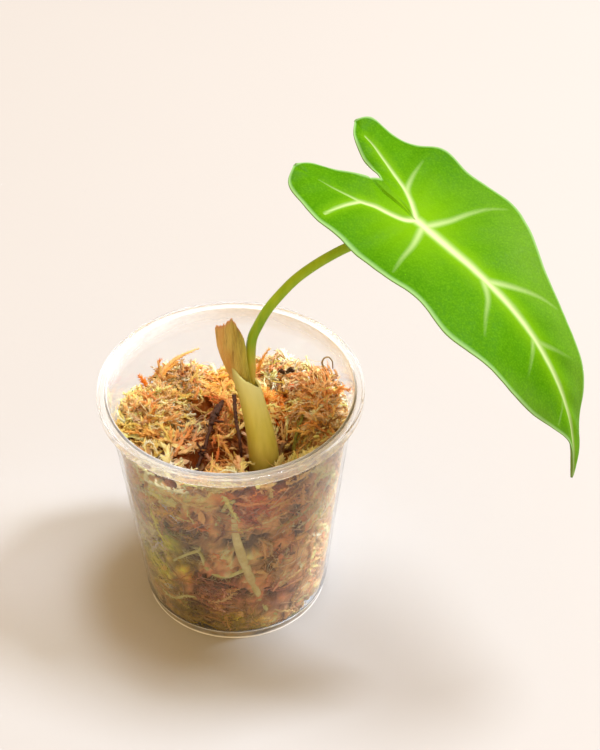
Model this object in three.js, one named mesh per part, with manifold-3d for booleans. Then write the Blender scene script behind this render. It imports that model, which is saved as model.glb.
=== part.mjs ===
// Potted frydek alocasia: one velvet leaf on a thin stalk, growing from a clear cup packed with
// long moss fibres. Millimetres, +Z up. The origin is the centre of the cup's flat base.
import * as THREE from "three";
import { mergeVertices } from "three/addons/utils/BufferGeometryUtils.js";
import Module from "manifold-3d";

const wasm = await Module();
wasm.setup();

// Driving dimensions
const GAP = 0.4; // clear space cut around a piece where another one closes in on it
const SLIVER = 0.08; // details smaller than this are dropped after a cut

const CUP = {
  height: 91.6,
  rimR: 45, // outer radius of the flat flange
  lipDrop: 3.3, // how far the flange turns down at its outer edge
  wallTopR: 42.1, // outer radius of the wall, carried up to the rim
  taper: 0.102, // radius lost for each millimetre down
  wall: 0.9,
  ledgeZ: 81, // a faint step that runs round the wall
  ledgeOut: 0.25,
  floor: 1.2,
  footR: 31.9,
  segments: 56,
};

const LEAF = {
  joint: new THREE.Vector3(58.7, -8, 165.8), // where midrib and back veins meet
  heading: -39.3, // degrees from +X, towards the tip
  // pitch of the midrib below the horizontal, in degrees, at distances from the joint
  pitch: [
    [0, 20],
    [18, 20],
    [37, 31],
    [56, 50],
    [74, 67],
    [88, 79],
    [104, 88],
  ],
  roll: -3,
  thickness: 0.7,
  edgeThickness: 0.6,
  keel: 2.0, // how far the midrib stands out below at the joint
  keelTip: 0.3,
  edgeWave: 1.2,
  quilt: 0.45, // how far the blade swells between two side veins
};

const STALK_R = [1.7, 1.45]; // radius of the stalk at its base and at the leaf
const STUB_THICKNESS = 0.9;

// Small tools
const V = (x, y, z) => new THREE.Vector3(x, y, z);
const degrees = Math.PI / 180;
const mix = (a, b, t) => a + (b - a) * t;

function randomFrom(seed) {
  let state = seed;
  return (low = 0, high = 1) => {
    state = (state + 0x6d2b79f5) | 0;
    let t = Math.imul(state ^ (state >>> 15), 1 | state);
    t = (t + Math.imul(t ^ (t >>> 7), 61 | t)) ^ t;
    return low + ((high - low) * ((t ^ (t >>> 14)) >>> 0)) / 4294967296;
  };
}

// Value at x in a list of [x, value] pairs, with straight lines between them.
function along(list, x) {
  let i = 1;
  while (i < list.length - 1 && list[i][0] < x) {
    i += 1;
  }
  const [x0, y0] = list[i - 1];
  const [x1, y1] = list[i];
  return mix(y0, y1, Math.min(1, Math.max(0, (x - x0) / (x1 - x0))));
}

// A closed geometry as a solid.
function solid(geometry) {
  const bare = geometry.clone();
  bare.deleteAttribute("normal");
  bare.deleteAttribute("uv");
  const merged = mergeVertices(bare, 1e-4);
  const triVerts = [];
  for (let i = 0; i < merged.index.count; i += 3) {
    const [a, b, c] = [0, 1, 2].map((k) => merged.index.getX(i + k));
    if (a !== b && b !== c && c !== a) {
      triVerts.push(a, b, c);
    }
  }
  const vertProperties = new Float32Array(merged.attributes.position.array);
  const build = (corners) =>
    new wasm.Manifold(
      new wasm.Mesh({ numProp: 3, vertProperties, triVerts: new Uint32Array(corners) }),
    );
  const made = build(triVerts);
  return made.volume() < 0 ? build(triVerts.reverse()) : made;
}

function solidFromFaces(points, faces) {
  const geometry = new THREE.BufferGeometry().setFromPoints(points);
  geometry.setIndex(faces.flat());
  return solid(geometry);
}

// Closed rings of equally many points, one after the other, with a flat fan at each end.
function loft(rings) {
  const n = rings[0].length;
  const centre = (ring) => ring.reduce((s, p) => s.add(p), V(0, 0, 0)).divideScalar(n);
  const points = [...rings.flat(), centre(rings[0]), centre(rings.at(-1))];
  const faces = [];
  const last = (rings.length - 1) * n;
  for (let j = 0; j < n; j += 1) {
    const k = (j + 1) % n;
    for (let row = 0; row < last; row += n) {
      faces.push([row + j, row + k, row + n + k], [row + j, row + n + k, row + n + j]);
    }
    faces.push([k, j, points.length - 2], [last + j, last + k, points.length - 1]);
  }
  return solidFromFaces(points, faces);
}

// A tube along a smooth curve. radius(t) runs from its start (t = 0) to its end (t = 1), flat is
// its thickness over its width, grow makes it thicker and longer all round, and facing(p) is the
// direction of its thin side.
function tube(path, radius, { steps = 6, sides = 6, flat = 1, grow = 0, facing = null } = {}) {
  const curve = new THREE.CatmullRomCurve3(path);
  const frames = curve.computeFrenetFrames(steps, false);
  const rings = [];
  for (let i = 0; i <= steps; i += 1) {
    const centre = curve.getPointAt(i / steps);
    const tangent = frames.tangents[i];
    let across = frames.normals[i];
    let thin = frames.binormals[i];
    if (facing) {
      across = V(0, 0, 0).crossVectors(tangent, facing(centre)).normalize();
      thin = V(0, 0, 0).crossVectors(across, tangent).normalize();
    }
    if (i === 0 || i === steps) {
      centre.addScaledVector(tangent, i === 0 ? -grow : grow);
    }
    const r = radius(i / steps);
    rings.push(
      Array.from({ length: sides }, (_, j) => {
        const angle = (2 * Math.PI * j) / sides;
        return centre
          .clone()
          .addScaledVector(across, Math.cos(angle) * (r + grow))
          .addScaledVector(thin, Math.sin(angle) * (r * flat + grow));
      }),
    );
  }
  return loft(rings);
}

// A sheet from its middle surface: triangles over points, each point thickened along its normal
// by up (above) and down (below).
function thickSheet(points, normals, faces, up, down) {
  const n = points.length;
  const all = [
    ...points.map((p, i) => p.clone().addScaledVector(normals[i], up[i])),
    ...points.map((p, i) => p.clone().addScaledVector(normals[i], -down[i])),
  ];
  const closed = [];
  const edges = new Map();
  for (const [a, b, c] of faces) {
    closed.push([a, b, c], [n + a, n + c, n + b]);
    for (const [from, to] of [
      [a, b],
      [b, c],
      [c, a],
    ]) {
      if (!edges.delete(to + "," + from)) {
        edges.set(from + "," + to, [from, to]);
      }
    }
  }
  for (const [from, to] of edges.values()) {
    closed.push([to, from, n + from], [to, n + from, n + to]);
  }
  return solidFromFaces(all, closed);
}

// The largest body of a cut solid, without the slivers that the cuts leave.
const biggest = (made) =>
  made
    .simplify(SLIVER)
    .decompose()
    .reduce((best, body) => (body.volume() > best.volume() ? body : best));

const joined = (solids) => solids.reduce((all, one) => all.add(one));

// Cup
const wallR = (z) =>
  CUP.wallTopR - CUP.taper * (CUP.height - z) + (z > CUP.ledgeZ ? CUP.ledgeOut : 0);
const insideR = (z) => wallR(z) - CUP.wall;

function cup() {
  const top = CUP.height;
  const flangeIn = insideR(top);
  const outline = [
    [0, 0],
    [CUP.footR, 0],
    [CUP.footR + 0.7, 0.35],
    [wallR(1.3), 1.3],
    [wallR(CUP.ledgeZ - 0.4), CUP.ledgeZ - 0.4],
    [wallR(CUP.ledgeZ + 0.4), CUP.ledgeZ + 0.4],
    [wallR(top - CUP.wall), top - CUP.wall],
    [CUP.rimR - CUP.wall, top - CUP.wall],
    [CUP.rimR - CUP.wall, top - CUP.lipDrop],
    [CUP.rimR, top - CUP.lipDrop],
    [CUP.rimR, top - 0.35],
    [CUP.rimR - 0.35, top],
    [flangeIn, top],
    [insideR(CUP.ledgeZ + 0.6), CUP.ledgeZ + 0.6],
    [insideR(CUP.ledgeZ - 0.2), CUP.ledgeZ - 0.2],
    [insideR(3.9), 3.9],
    [31.4, 2.4],
    [30, 1.5],
    [28.4, CUP.floor],
    [0, CUP.floor],
  ];
  const lathe = new THREE.LatheGeometry(
    outline.map(([r, z]) => new THREE.Vector2(r, z)),
    CUP.segments,
  );
  return solid(lathe.rotateX(Math.PI / 2));
}

// Pulls a point in where it would come closer to the cup's wall than margin.
function keepInside(p, margin) {
  const r = Math.hypot(p.x, p.y);
  const most = insideR(p.z) - margin;
  if (r > most) {
    p.x *= most / r;
    p.y *= most / r;
  }
  return p;
}

// Leaf
// Each rib runs from the midrib or the back vein out to the margin: [u, v, u at margin, v at
// margin]. u is the distance from the joint towards the tip, and v the distance to the side. Ribs
// go from the tip of a back lobe to the tip of the leaf.
const RIGHT_RIBS = [
  [-39, 16, -39, 16],
  [-33, 14.2, -36, 21],
  [-25, 11.7, -28, 23.2],
  [-16, 8.8, -20, 25.4],
  [-8, 5.4, -13, 30],
  [0, 0, -3, 30.8],
  [4, 0, 14, 32.8],
  [14, 0, 24, 28],
  [24, 0, 36, 22],
  [32, 0, 50, 18.3],
  [44, 0, 62, 14.4],
  [57, 0, 74, 11],
  [71, 0, 85, 7.2],
  [86, 0.8, 94, 4.8],
  [103.5, 1, 103.5, 1],
];
const LEFT_RIBS = [
  [-37.6, -16.5, -37.6, -16.5],
  [-31, -14.6, -34.5, -22.2],
  [-24, -12, -27, -26],
  [-15.5, -9, -18.5, -29],
  [-7.5, -5.4, -9, -27],
  [0, 0, -1, -27.2],
  [4, 0, 9.5, -28],
  [14, 0, 21, -25.5],
  [24, 0, 33, -26.4],
  [32, 0, 45, -24],
  [44, 0, 56, -21.2],
  [57, 0, 68, -14.6],
  [71, 0, 78, -7.7],
  [86, 0.8, 88, -1.5],
  [103.5, 1, 103.5, 1],
];
// The inner margin of each back lobe, from its tip to the notch between the lobes.
const RIGHT_INNER = [
  [-39, 16],
  [-35, 10.4],
  [-28, 7],
  [-21.5, 4.8],
  [-17.5, 2.5],
];
const LEFT_INNER = [
  [-37.6, -16.5],
  [-35, -9],
  [-28, -4.6],
  [-21.5, -1],
  [-17.5, 2.5],
];
const BACK_RIBS = 5; // ribs from a lobe's tip to the joint
const ROWS = 2; // rows of points for each rib
const ACROSS = [0, 0.06, 0.25, 0.5, 0.75, 0.93, 1];
const ACROSS_BACK = [0, 0.12, 0.55, 1];

const forward = V(Math.cos(LEAF.heading * degrees), Math.sin(LEAF.heading * degrees), 0);
const sideways = V(-forward.y, forward.x, 0);

// The midrib's point and direction at distance u, summed up in small steps.
function midrib(u) {
  const backPitch = LEAF.pitch[0][1] * degrees;
  const p = LEAF.joint.clone();
  if (u <= 0) {
    p.addScaledVector(forward, u * Math.cos(backPitch)).z -= u * Math.sin(backPitch);
    return { p, pitch: backPitch };
  }
  const steps = Math.ceil(u);
  for (let i = 0; i < steps; i += 1) {
    const pitch = along(LEAF.pitch, (u * (i + 0.5)) / steps) * degrees;
    p.addScaledVector(forward, (u / steps) * Math.cos(pitch)).z -= (u / steps) * Math.sin(pitch);
  }
  return { p, pitch: along(LEAF.pitch, u) * degrees };
}

function leafFrame(u) {
  const { p, pitch } = midrib(u);
  const above = forward.clone().multiplyScalar(Math.sin(pitch));
  above.z += Math.cos(pitch);
  const roll = LEAF.roll * degrees;
  const side = sideways.clone().multiplyScalar(Math.cos(roll)).addScaledVector(above, Math.sin(roll));
  above.multiplyScalar(Math.cos(roll)).addScaledVector(sideways, -Math.sin(roll));
  return { p, side, above };
}

// The blade dishes up a little towards both margins.
function leafPoint(u, v, lift) {
  const { p, side, above } = leafFrame(u);
  const dish = 0.0025 * v * v - 0.044 * Math.abs(v);
  return p.addScaledVector(side, v).addScaledVector(above, dish + lift);
}

// A smooth line through a list of points in u and v, sampled ROWS times for each step.
function sampled(list) {
  const curve = new THREE.CatmullRomCurve3(list.map(([u, v]) => V(u, v, 0)));
  const count = (list.length - 1) * ROWS;
  return Array.from({ length: count + 1 }, (_, i) => curve.getPoint(i / count));
}

function leafBlade(grow) {
  const points = [];
  const normals = [];
  const up = [];
  const down = [];
  const faces = [];
  const known = new Map();
  const add = (uv, share, row, phase) => {
    const key = uv.x.toFixed(3) + "," + uv.y.toFixed(3);
    if (!known.has(key)) {
      const swell = LEAF.quilt * Math.sin((Math.PI * row) / ROWS) ** 2 * Math.sin(Math.PI * share);
      const wave = LEAF.edgeWave * share * share * Math.sin(1.9 * (row / ROWS) + phase);
      const tip = Math.min(1, (104 - uv.x) / 25);
      const reach = uv.x < 0 ? uv.x / -37 : uv.x / 100;
      const keel = share > 0 ? 0 : mix(LEAF.keel, LEAF.keelTip, Math.min(1, reach));
      known.set(key, points.length);
      points.push(leafPoint(uv.x, uv.y, (swell + wave) * tip));
      normals.push(leafFrame(uv.x).above);
      const half = mix(LEAF.thickness, LEAF.edgeThickness, share) / 2 + grow;
      up.push(half);
      down.push(half + keel);
    }
    return known.get(key);
  };
  const patch = (inner, outer, shares, phase, turned) => {
    const grid = inner.map((from, row) =>
      shares.map((share) => add(from.clone().lerp(outer[row], share), share, row, phase)),
    );
    for (let i = 0; i + 1 < grid.length; i += 1) {
      for (let j = 0; j + 1 < shares.length; j += 1) {
        const [a, b, c, d] = [grid[i][j], grid[i][j + 1], grid[i + 1][j + 1], grid[i + 1][j]];
        for (const face of [
          [a, b, c],
          [a, c, d],
        ]) {
          if (new Set(face).size === 3) {
            faces.push(turned ? face : face.reverse());
          }
        }
      }
    }
  };
  for (const [ribs, inner, phase, turned] of [
    [RIGHT_RIBS, RIGHT_INNER, 0.4, false],
    [LEFT_RIBS, LEFT_INNER, 2.2, true],
  ]) {
    const spine = sampled(ribs.map(([u, v]) => [u, v]));
    const margin = sampled(ribs.map(([, , u, v]) => [u, v]));
    patch(spine, margin, ACROSS, phase, turned);
    // Behind the joint, the blade goes on from the back vein to the inner margin of the lobe.
    const notch = sampled(inner);
    const joint = V(0, 0, 0);
    notch.push(...[0.5, 1].map((t) => notch.at(-1).clone().lerp(joint, t)));
    patch(spine.slice(0, BACK_RIBS * ROWS + 1), notch, ACROSS_BACK, phase, !turned);
  }
  return thickSheet(points, normals, faces, up, down);
}

// Stalks
const STEM_PATH = [
  V(12.4, -17.6, 50),
  V(11.5, -17, 67),
  V(10.6, -16, 80),
  V(7.9, -14.5, 96.5),
  V(5.6, -13.2, 107),
  V(4.4, -12.6, 114),
];
const STEM_WIDTH = [
  [0, 5.8],
  [0.27, 5.4],
  [0.48, 4.8],
  [0.75, 4.0],
  [1, 4.0],
];
const stemTube = (grow) =>
  tube(STEM_PATH, (t) => along(STEM_WIDTH, t), { steps: 12, sides: 14, grow });

const STALK_PATH = [
  V(6.7, -11.7, 101),
  V(7.2, -11.2, 108),
  V(7.4, -10.8, 116.4),
  V(8.1, -10.6, 121.8),
  V(9.9, -10.6, 126.6),
  V(13, -10.6, 133.1),
  V(16.9, -10.6, 139),
  V(21.7, -10.6, 145.1),
  V(27.1, -10.6, 150.2),
  V(33, -10.6, 154.7),
  V(38.5, -10.4, 158),
  V(48.5, -9.5, 162),
  LEAF.joint,
];
const stalkTube = (grow) =>
  tube(STALK_PATH, (t) => mix(STALK_R[0], STALK_R[1], t), { steps: 22, sides: 8, grow });
// Its upper end is cut off along the leaf's underside.
const petiole = () => biggest(stalkTube(0).subtract(leafBlade(GAP)));

// The old stub is a curled sheet, open at its back. Each level gives its height, the middle and
// half width of the curl, and how far it stands out in front.
const STUB_LEVELS = [
  { z: 101, x: 6.3, half: 2.6, y: -12, out: 3.2 },
  { z: 105, x: 4.9, half: 3.5, y: -11.6, out: 3.6 },
  { z: 108.6, x: 3.8, half: 4.2, y: -11.3, out: 3.9 },
  { z: 114, x: 2.7, half: 4.9, y: -10.9, out: 4.1 },
  { z: 119, x: 2.1, half: 5.4, y: -10.5, out: 4.2 },
  { z: 124, x: 1.5, half: 5.1, y: -10.3, out: 4.1 },
  { z: 131, x: 1.2, half: 4.7, y: -10.1, out: 4.0 },
];
// The torn top edge: [angle round the curl in degrees, height].
const STUB_EDGE = [
  [-95, 122.5],
  [-72, 126.9],
  [-50, 125.4],
  [-34, 126.8],
  [-20, 125.9],
  [-5, 129.4],
  [8, 130.6],
  [22, 128],
  [36, 125.4],
  [50, 122.8],
];

function stubPoint(angle, z, grow = 0) {
  const level = (key) => along(
    STUB_LEVELS.map((one) => [one.z, one[key]]),
    z,
  );
  const a = angle * degrees;
  return V(
    level("x") + (level("half") + grow) * Math.sin(a),
    level("y") - (level("out") + grow) * Math.cos(a),
    z,
  );
}

function oldStub() {
  const bottom = STUB_LEVELS[0].z;
  const rows = 6;
  const points = [];
  const normals = [];
  const faces = [];
  const columns = STUB_EDGE.length;
  for (let i = 0; i <= rows; i += 1) {
    for (const [angle, top] of STUB_EDGE) {
      const z = mix(bottom, top, i / rows);
      const crease = 0.18 * Math.cos(angle * 0.31) * (i / rows);
      points.push(stubPoint(angle, z, crease));
      normals.push(V(Math.sin(angle * degrees), -Math.cos(angle * degrees), 0));
    }
  }
  for (let i = 0; i < rows; i += 1) {
    for (let j = 0; j + 1 < columns; j += 1) {
      const a = i * columns + j;
      faces.push([a, a + 1, a + columns + 1], [a, a + columns + 1, a + columns]);
    }
  }
  const half = points.map(() => STUB_THICKNESS / 2);
  return thickSheet(points, normals, faces, half, half);
}

// The room that the stub and everything behind it takes in the sheath.
function sheathRoom() {
  const grow = STUB_THICKNESS / 2 + GAP;
  const rings = STUB_LEVELS.map(({ z, x }, i) => {
    const level = i === 0 ? z - GAP : z;
    const arc = STUB_EDGE.map(([angle]) => stubPoint(angle, level, grow));
    return [...arc, V(x + 8, -12.6, level), V(x + 8, -4, level), V(x - 4, -4, level)];
  });
  return loft(rings);
}

function stemBase() {
  // The sheath's lip slopes from its high left tip down to the right.
  const cutter = new THREE.BoxGeometry(40, 40, 30).translate(0, 0, 15);
  cutter.rotateX(-8 * degrees).rotateY(43 * degrees).translate(0.3, -13, 112.5);
  return biggest(
    stemTube(0).subtract(sheathRoom()).subtract(stalkTube(GAP)).subtract(solid(cutter)),
  );
}

// Roots
// A root runs along the inside of the wall, through points given as [direction in degrees, z].
function wallPath(list, depth) {
  return list.map(([angle, z]) => {
    const r = insideR(z) - depth;
    return V(r * Math.cos(angle * degrees), r * Math.sin(angle * degrees), z);
  });
}
const outwards = (p) => V(p.x, p.y, 0).normalize();
const ROOTS = [
  {
    path: [
      [-88, 76],
      [-87, 57],
      [-82, 40],
      [-75.5, 25],
      [-69, 13],
      [-60, 7],
    ],
    radius: [
      [0, 1.1],
      [0.3, 2.0],
      [0.55, 2.1],
      [0.8, 1.1],
      [1, 0.6],
    ],
  },
  {
    path: [
      [-126, 36],
      [-114, 44],
      [-108, 46.5],
      [-103.5, 37.5],
      [-95, 34.5],
      [-83, 38],
    ],
    radius: [
      [0, 0.6],
      [0.5, 0.9],
      [1, 1.1],
    ],
  },
  {
    path: [
      [-91, 74],
      [-101, 56],
      [-109, 46],
    ],
    radius: [
      [0, 0.9],
      [1, 0.7],
    ],
  },
];
const roots = (grow) =>
  joined(
    ROOTS.map(({ path, radius }) =>
      tube(wallPath(path, 1.5), (t) => along(radius, t), {
        steps: 9,
        sides: 6,
        flat: 0.5,
        grow,
        facing: outwards,
      }),
    ),
  );

// Twigs and single fibres
const twigDark = (grow) =>
  joined([
    tube(
      [V(-12.6, -27, 66), V(-11, -22, 73.5), V(-8.6, -13, 76), V(-6.4, -5, 79), V(-3.4, 3.6, 80.5)],
      (t) => 0.95 - 0.15 * Math.sin(9 * t),
      { steps: 8, sides: 6, grow },
    ),
    tube([V(-7.2, -7, 78.6), V(-5.6, -2, 80.6), V(-3, 4.4, 80.8)], (t) => 1.2 + Math.sin(3.1 * t), {
      steps: 5,
      sides: 6,
      flat: 0.8,
      grow,
    }),
    tube([V(-6, -4, 79.6), V(-2.8, -3.6, 78.4)], () => 0.6, { steps: 1, sides: 5, grow }),
  ]);

const twigStem = (grow) =>
  tube(
    [V(3.6, -12.5, 68), V(2.9, -9.5, 75.2), V(1.7, -4, 78.6), V(1.1, 0, 82), V(0.9, 3.5, 84.2)],
    (t) => 0.5 + 0.45 * t,
    { steps: 7, sides: 6, grow },
  );

const curlBrown = (grow) =>
  tube(
    [
      V(33.4, 14.6, 78),
      V(32.4, 15, 82.6),
      V(31.9, 15.4, 85.6),
      V(30.8, 15.8, 87.6),
      V(31.4, 16.4, 89.4),
      V(33, 16.6, 89.8),
      V(34.2, 16.2, 88.4),
      V(34.5, 15.6, 85.6),
    ],
    () => 0.5,
    { steps: 14, sides: 5, grow },
  );

const sprigGreen = (grow) =>
  joined([
    tube([V(20.8, -13, 70), V(21.8, -9, 76.5), V(23.8, -4, 80), V(26.6, 3.2, 82.6)], () => 0.7, {
      steps: 6,
      sides: 5,
      grow,
    }),
    tube([V(22.6, -7, 78), V(22.4, -5.6, 80.6)], () => 0.45, { steps: 1, sides: 4, grow }),
    tube([V(24.6, -2, 80.8), V(26.8, -3.4, 82)], () => 0.45, { steps: 1, sides: 4, grow }),
  ]);

// Moss
// Heights of the moss top at a few places: [x, y, z].
const MOSS_TOP = [
  [0, -38, 82],
  [-27, -27, 80],
  [27, -27, 82],
  [-38, 0, 74],
  [39, 0, 79],
  [28, 26, 74],
  [2, 38, 66],
  [-26, 26, 68],
  [-9, 4, 75],
  [11, -17, 69],
  [20, -12, 68],
  [-8, -18, 75],
  [14, 14, 70],
];

const lumps = (x, y, z) =>
  Math.sin(0.41 * x + 1.3 * Math.sin(0.23 * y + 0.1 * z)) +
  Math.sin(0.47 * y - 0.22 * z + 1.1 * Math.sin(0.31 * x)) +
  0.8 * Math.sin(0.83 * z + 0.7 * y - 0.5 * x);

function mossTop(x, y) {
  let total = 0;
  let weights = 0;
  for (const [px, py, pz] of MOSS_TOP) {
    const weight = 1 / (20 + (x - px) ** 2 + (y - py) ** 2) ** 1.5;
    total += weight * pz;
    weights += weight;
  }
  return total / weights + 0.9 * lumps(x, y, 0);
}

// Rings from the floor of the cup up the wall, then over the top to its middle.
function mossBody() {
  const segments = 40;
  const sideRows = 9;
  const shares = [0.96, 0.86, 0.73, 0.59, 0.44, 0.27];
  const ring = (place) =>
    Array.from({ length: segments }, (_, j) => place((2 * Math.PI * j) / segments));
  const polar = (r, angle, z) => V(r * Math.cos(angle), r * Math.sin(angle), z);
  const edgeZ = (angle) => mossTop(39 * Math.cos(angle), 39 * Math.sin(angle));
  const edgeR = (angle) => insideR(edgeZ(angle)) - 1.2;
  const rings = [
    ring((angle) => polar(12, angle, 1.6)),
    ring((angle) => polar(27.6, angle, 1.6)),
    ring((angle) => polar(31.2, angle, 4.2)),
  ];
  for (let i = 1; i <= sideRows; i += 1) {
    rings.push(
      ring((angle) => {
        const z = mix(6, edgeZ(angle) - 1.5, i / sideRows);
        const r = insideR(z);
        const dent = lumps(r * Math.cos(angle) * 1.3, r * Math.sin(angle) * 1.3, z);
        return polar(r - 0.45 - Math.max(0, 0.7 + 0.7 * dent), angle, z);
      }),
    );
  }
  for (const share of shares) {
    rings.push(
      ring((angle) => {
        const r = edgeR(angle) * share;
        const x = r * Math.cos(angle);
        const y = r * Math.sin(angle);
        return V(x, y, mossTop(x, y));
      }),
    );
  }
  return loft(rings);
}

// Fibres that lie over the top of the moss, with both ends sunk in or one end free.
function topFibres() {
  const random = randomFrom(11);
  const fibres = [];
  for (let i = 0; i < 24; i += 1) {
    const r = 35 * Math.sqrt(random(0.02, 1));
    const angle = random(-2.9, 0.3);
    const turn = angle + random(0.6, 2.4) * (random() < 0.5 ? -1 : 1);
    const length = random(9, 19);
    const free = random() < 0.45;
    const start = V(r * Math.cos(angle), r * Math.sin(angle), 0);
    const place = (share, height) => {
      const p = start.clone().add(V(Math.cos(turn), Math.sin(turn), 0).multiplyScalar(length * share));
      p.z = mossTop(p.x, p.y) + height;
      return keepInside(p, 2.2);
    };
    const path = [place(0, -2.6), place(0.35, random(0.8, 1.8)), place(0.7, random(1, 2.2))];
    path.push(place(1, free ? random(2, 4.5) : -2.2));
    const thick = random(0.9, 1.5);
    fibres.push(
      tube(path, (t) => thick * (free ? 1 - 0.55 * t : 1), {
        steps: 4,
        sides: 4,
        flat: 0.55,
      }),
    );
  }
  // A pale flat fibre that lies round the foot of the stem.
  fibres.push(
    tube([V(12, -26.6, 72), V(14.5, -25.4, 76), V(19, -22.4, 76.6), V(24, -17, 73)], () => 0.8, {
      steps: 5,
      sides: 4,
      flat: 0.6,
    }),
  );
  return fibres;
}

// Fibres pressed against the wall, with both ends sunk in.
function wallFibres() {
  const random = randomFrom(23);
  return Array.from({ length: 14 }, () => {
    const angle = random(0, 360);
    const z = random(12, 66);
    const turn = random(10, 24) * (random() < 0.5 ? -1 : 1);
    const rise = random(-9, 9);
    const path = [
      ...wallPath([[angle - turn * 0.35, z - rise * 0.35]], 4.5),
      ...wallPath(
        [
          [angle, z],
          [angle + turn * 0.5, z + rise * 0.5],
          [angle + turn, z + rise],
        ],
        1.3,
      ),
      ...wallPath([[angle + turn * 1.35, z + rise * 1.35]], 4.5),
    ];
    return tube(path, () => 1.1, { steps: 5, sides: 4, flat: 0.6, facing: outwards });
  });
}

// A tangled bunch: fibres that cross in one ragged core and lie over the moss on both sides of it.
// core is its three half widths, reach how far the fibres go, and rise how high.
function bunch({ seed, centre, core, count, reach, rise }) {
  const random = randomFrom(seed);
  const paths = [];
  for (let i = 0; i < count; i += 1) {
    const turn = (Math.PI * (i + random(-0.3, 0.3))) / count + (i % 2) * Math.PI;
    const away = V(Math.cos(turn), Math.sin(turn), 0);
    const side = V(-away.y, away.x, 0);
    const middle = centre.clone();
    middle.x += core[0] * random(-0.6, 0.6);
    middle.y += core[1] * random(-0.75, 0.75);
    const length = random(reach[0], reach[1]);
    const sweep = length * random(-0.5, 0.5);
    const high = random(rise[0], rise[1]);
    const place = (share, height) => {
      const p = middle.clone().addScaledVector(away, length * share);
      p.addScaledVector(side, sweep * share * share);
      p.z = Math.max(p.z + height, mossTop(p.x, p.y) + 2.1);
      return keepInside(p, 2.2);
    };
    const path = [place(-0.8, -2), place(-0.3, high * 0.5), place(0.4, high * random(0.6, 1))];
    path.push(place(1, high * random(-0.2, 1.3)));
    paths.push({ path, thick: random(0.9, 1.6) });
  }
  return (grow) => {
    const ball = new THREE.IcosahedronGeometry(1, 1);
    const position = ball.attributes.position;
    for (let i = 0; i < position.count; i += 1) {
      const p = V(0, 0, 0).fromBufferAttribute(position, i);
      const size = 1 + 0.14 * lumps(9 * p.x + seed, 9 * p.y, 9 * p.z);
      p.set(p.x * (core[0] * size + grow), p.y * (core[1] * size + grow), p.z * (core[2] * size + grow));
      keepInside(p.add(centre), 1.4 - grow);
      position.setXYZ(i, p.x, p.y, p.z);
    }
    const fibres = paths.map((one) =>
      tube(one.path, (t) => one.thick * (1 - 0.6 * t), { steps: 4, sides: 4, flat: 0.5, grow }),
    );
    return joined([solid(ball), ...fibres]);
  };
}

const BUNCHES = {
  moss_right: bunch({
    seed: 5,
    centre: V(31, 4, 77),
    core: [4.5, 14, 5],
    count: 11,
    reach: [7, 11],
    rise: [4, 11],
  }),
  moss_left: bunch({
    seed: 31,
    centre: V(-27, 4, 75),
    core: [5.5, 8, 2.2],
    count: 9,
    reach: [8, 13],
    rise: [2, 6],
  }),
  moss_gold: bunch({
    seed: 47,
    centre: V(-20, 23, 70.5),
    core: [6, 5, 2.4],
    count: 8,
    reach: [8, 13],
    rise: [3, 9],
  }),
  moss_pale: bunch({
    seed: 63,
    centre: V(17, 28, 70.5),
    core: [6, 4.5, 2.4],
    count: 7,
    reach: [7, 10],
    rise: [2, 7],
  }),
  moss_rust: bunch({
    seed: 79,
    centre: V(11, 10, 71),
    core: [5, 4.5, 2.2],
    count: 7,
    reach: [6, 9],
    rise: [2, 5],
  }),
};

// Pieces, in the order in which they take their place: each later one leaves room for the earlier.
const FIRM = {
  root_pale: roots,
  twig_dark: twigDark,
  twig_stem: twigStem,
  curl_brown: curlBrown,
  sprig_green: sprigGreen,
};

const LOOKS = {
  cup: { color: 0xeef0ee, roughness: 0.12, transparent: true, opacity: 0.28 },
  leaf_blade: { color: 0x5cb80c, roughness: 0.55 },
  petiole: { color: 0x8aa81a, roughness: 0.45 },
  stem_base: { color: 0xbcc25a, roughness: 0.42 },
  old_stub: { color: 0xb99a5c, roughness: 0.8 },
  root_pale: { color: 0xc9bf84, roughness: 0.5 },
  twig_dark: { color: 0x4a2f24, roughness: 0.85 },
  twig_stem: { color: 0x3a2620, roughness: 0.85 },
  curl_brown: { color: 0x7c684c, roughness: 0.8 },
  sprig_green: { color: 0x77762e, roughness: 0.75 },
  moss_right: { color: 0xd2a566, roughness: 0.9 },
  moss_left: { color: 0xe6b866, roughness: 0.9 },
  moss_gold: { color: 0xe0a650, roughness: 0.9 },
  moss_pale: { color: 0xf0d493, roughness: 0.9 },
  moss_rust: { color: 0xc4692e, roughness: 0.9 },
  moss_bed: { color: 0xa9794a, roughness: 0.95 },
};

const plant = new THREE.Group();
plant.name = "potted_frydek_alocasia";

function addNode(name, made) {
  const { numProp, vertProperties, triVerts } = made.getMesh();
  const count = vertProperties.length / numProp;
  const corners = new Float32Array(count * 3);
  for (let i = 0; i < count; i += 1) {
    corners.set(vertProperties.subarray(i * numProp, i * numProp + 3), i * 3);
  }
  const geometry = new THREE.BufferGeometry();
  geometry.setAttribute("position", new THREE.BufferAttribute(corners, 3));
  geometry.setIndex(new THREE.BufferAttribute(triVerts, 1));
  geometry.computeVertexNormals();
  const material = new THREE.MeshStandardMaterial({ metalness: 0, ...LOOKS[name] });
  material.name = name;
  const mesh = new THREE.Mesh(geometry, material);
  mesh.name = name;
  plant.add(mesh);
}

addNode("cup", cup());
addNode("leaf_blade", leafBlade(0));
addNode("petiole", petiole());
addNode("old_stub", oldStub());
addNode("stem_base", stemBase());

let taken = stemTube(GAP);
for (const [name, shape] of Object.entries({ ...FIRM, ...BUNCHES })) {
  addNode(name, biggest(shape(0).subtract(taken)));
  taken = taken.add(shape(GAP));
}
const bed = joined([mossBody(), ...topFibres(), ...wallFibres()]);
addNode("moss_bed", biggest(bed.subtract(taken)));

export default plant;
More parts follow.
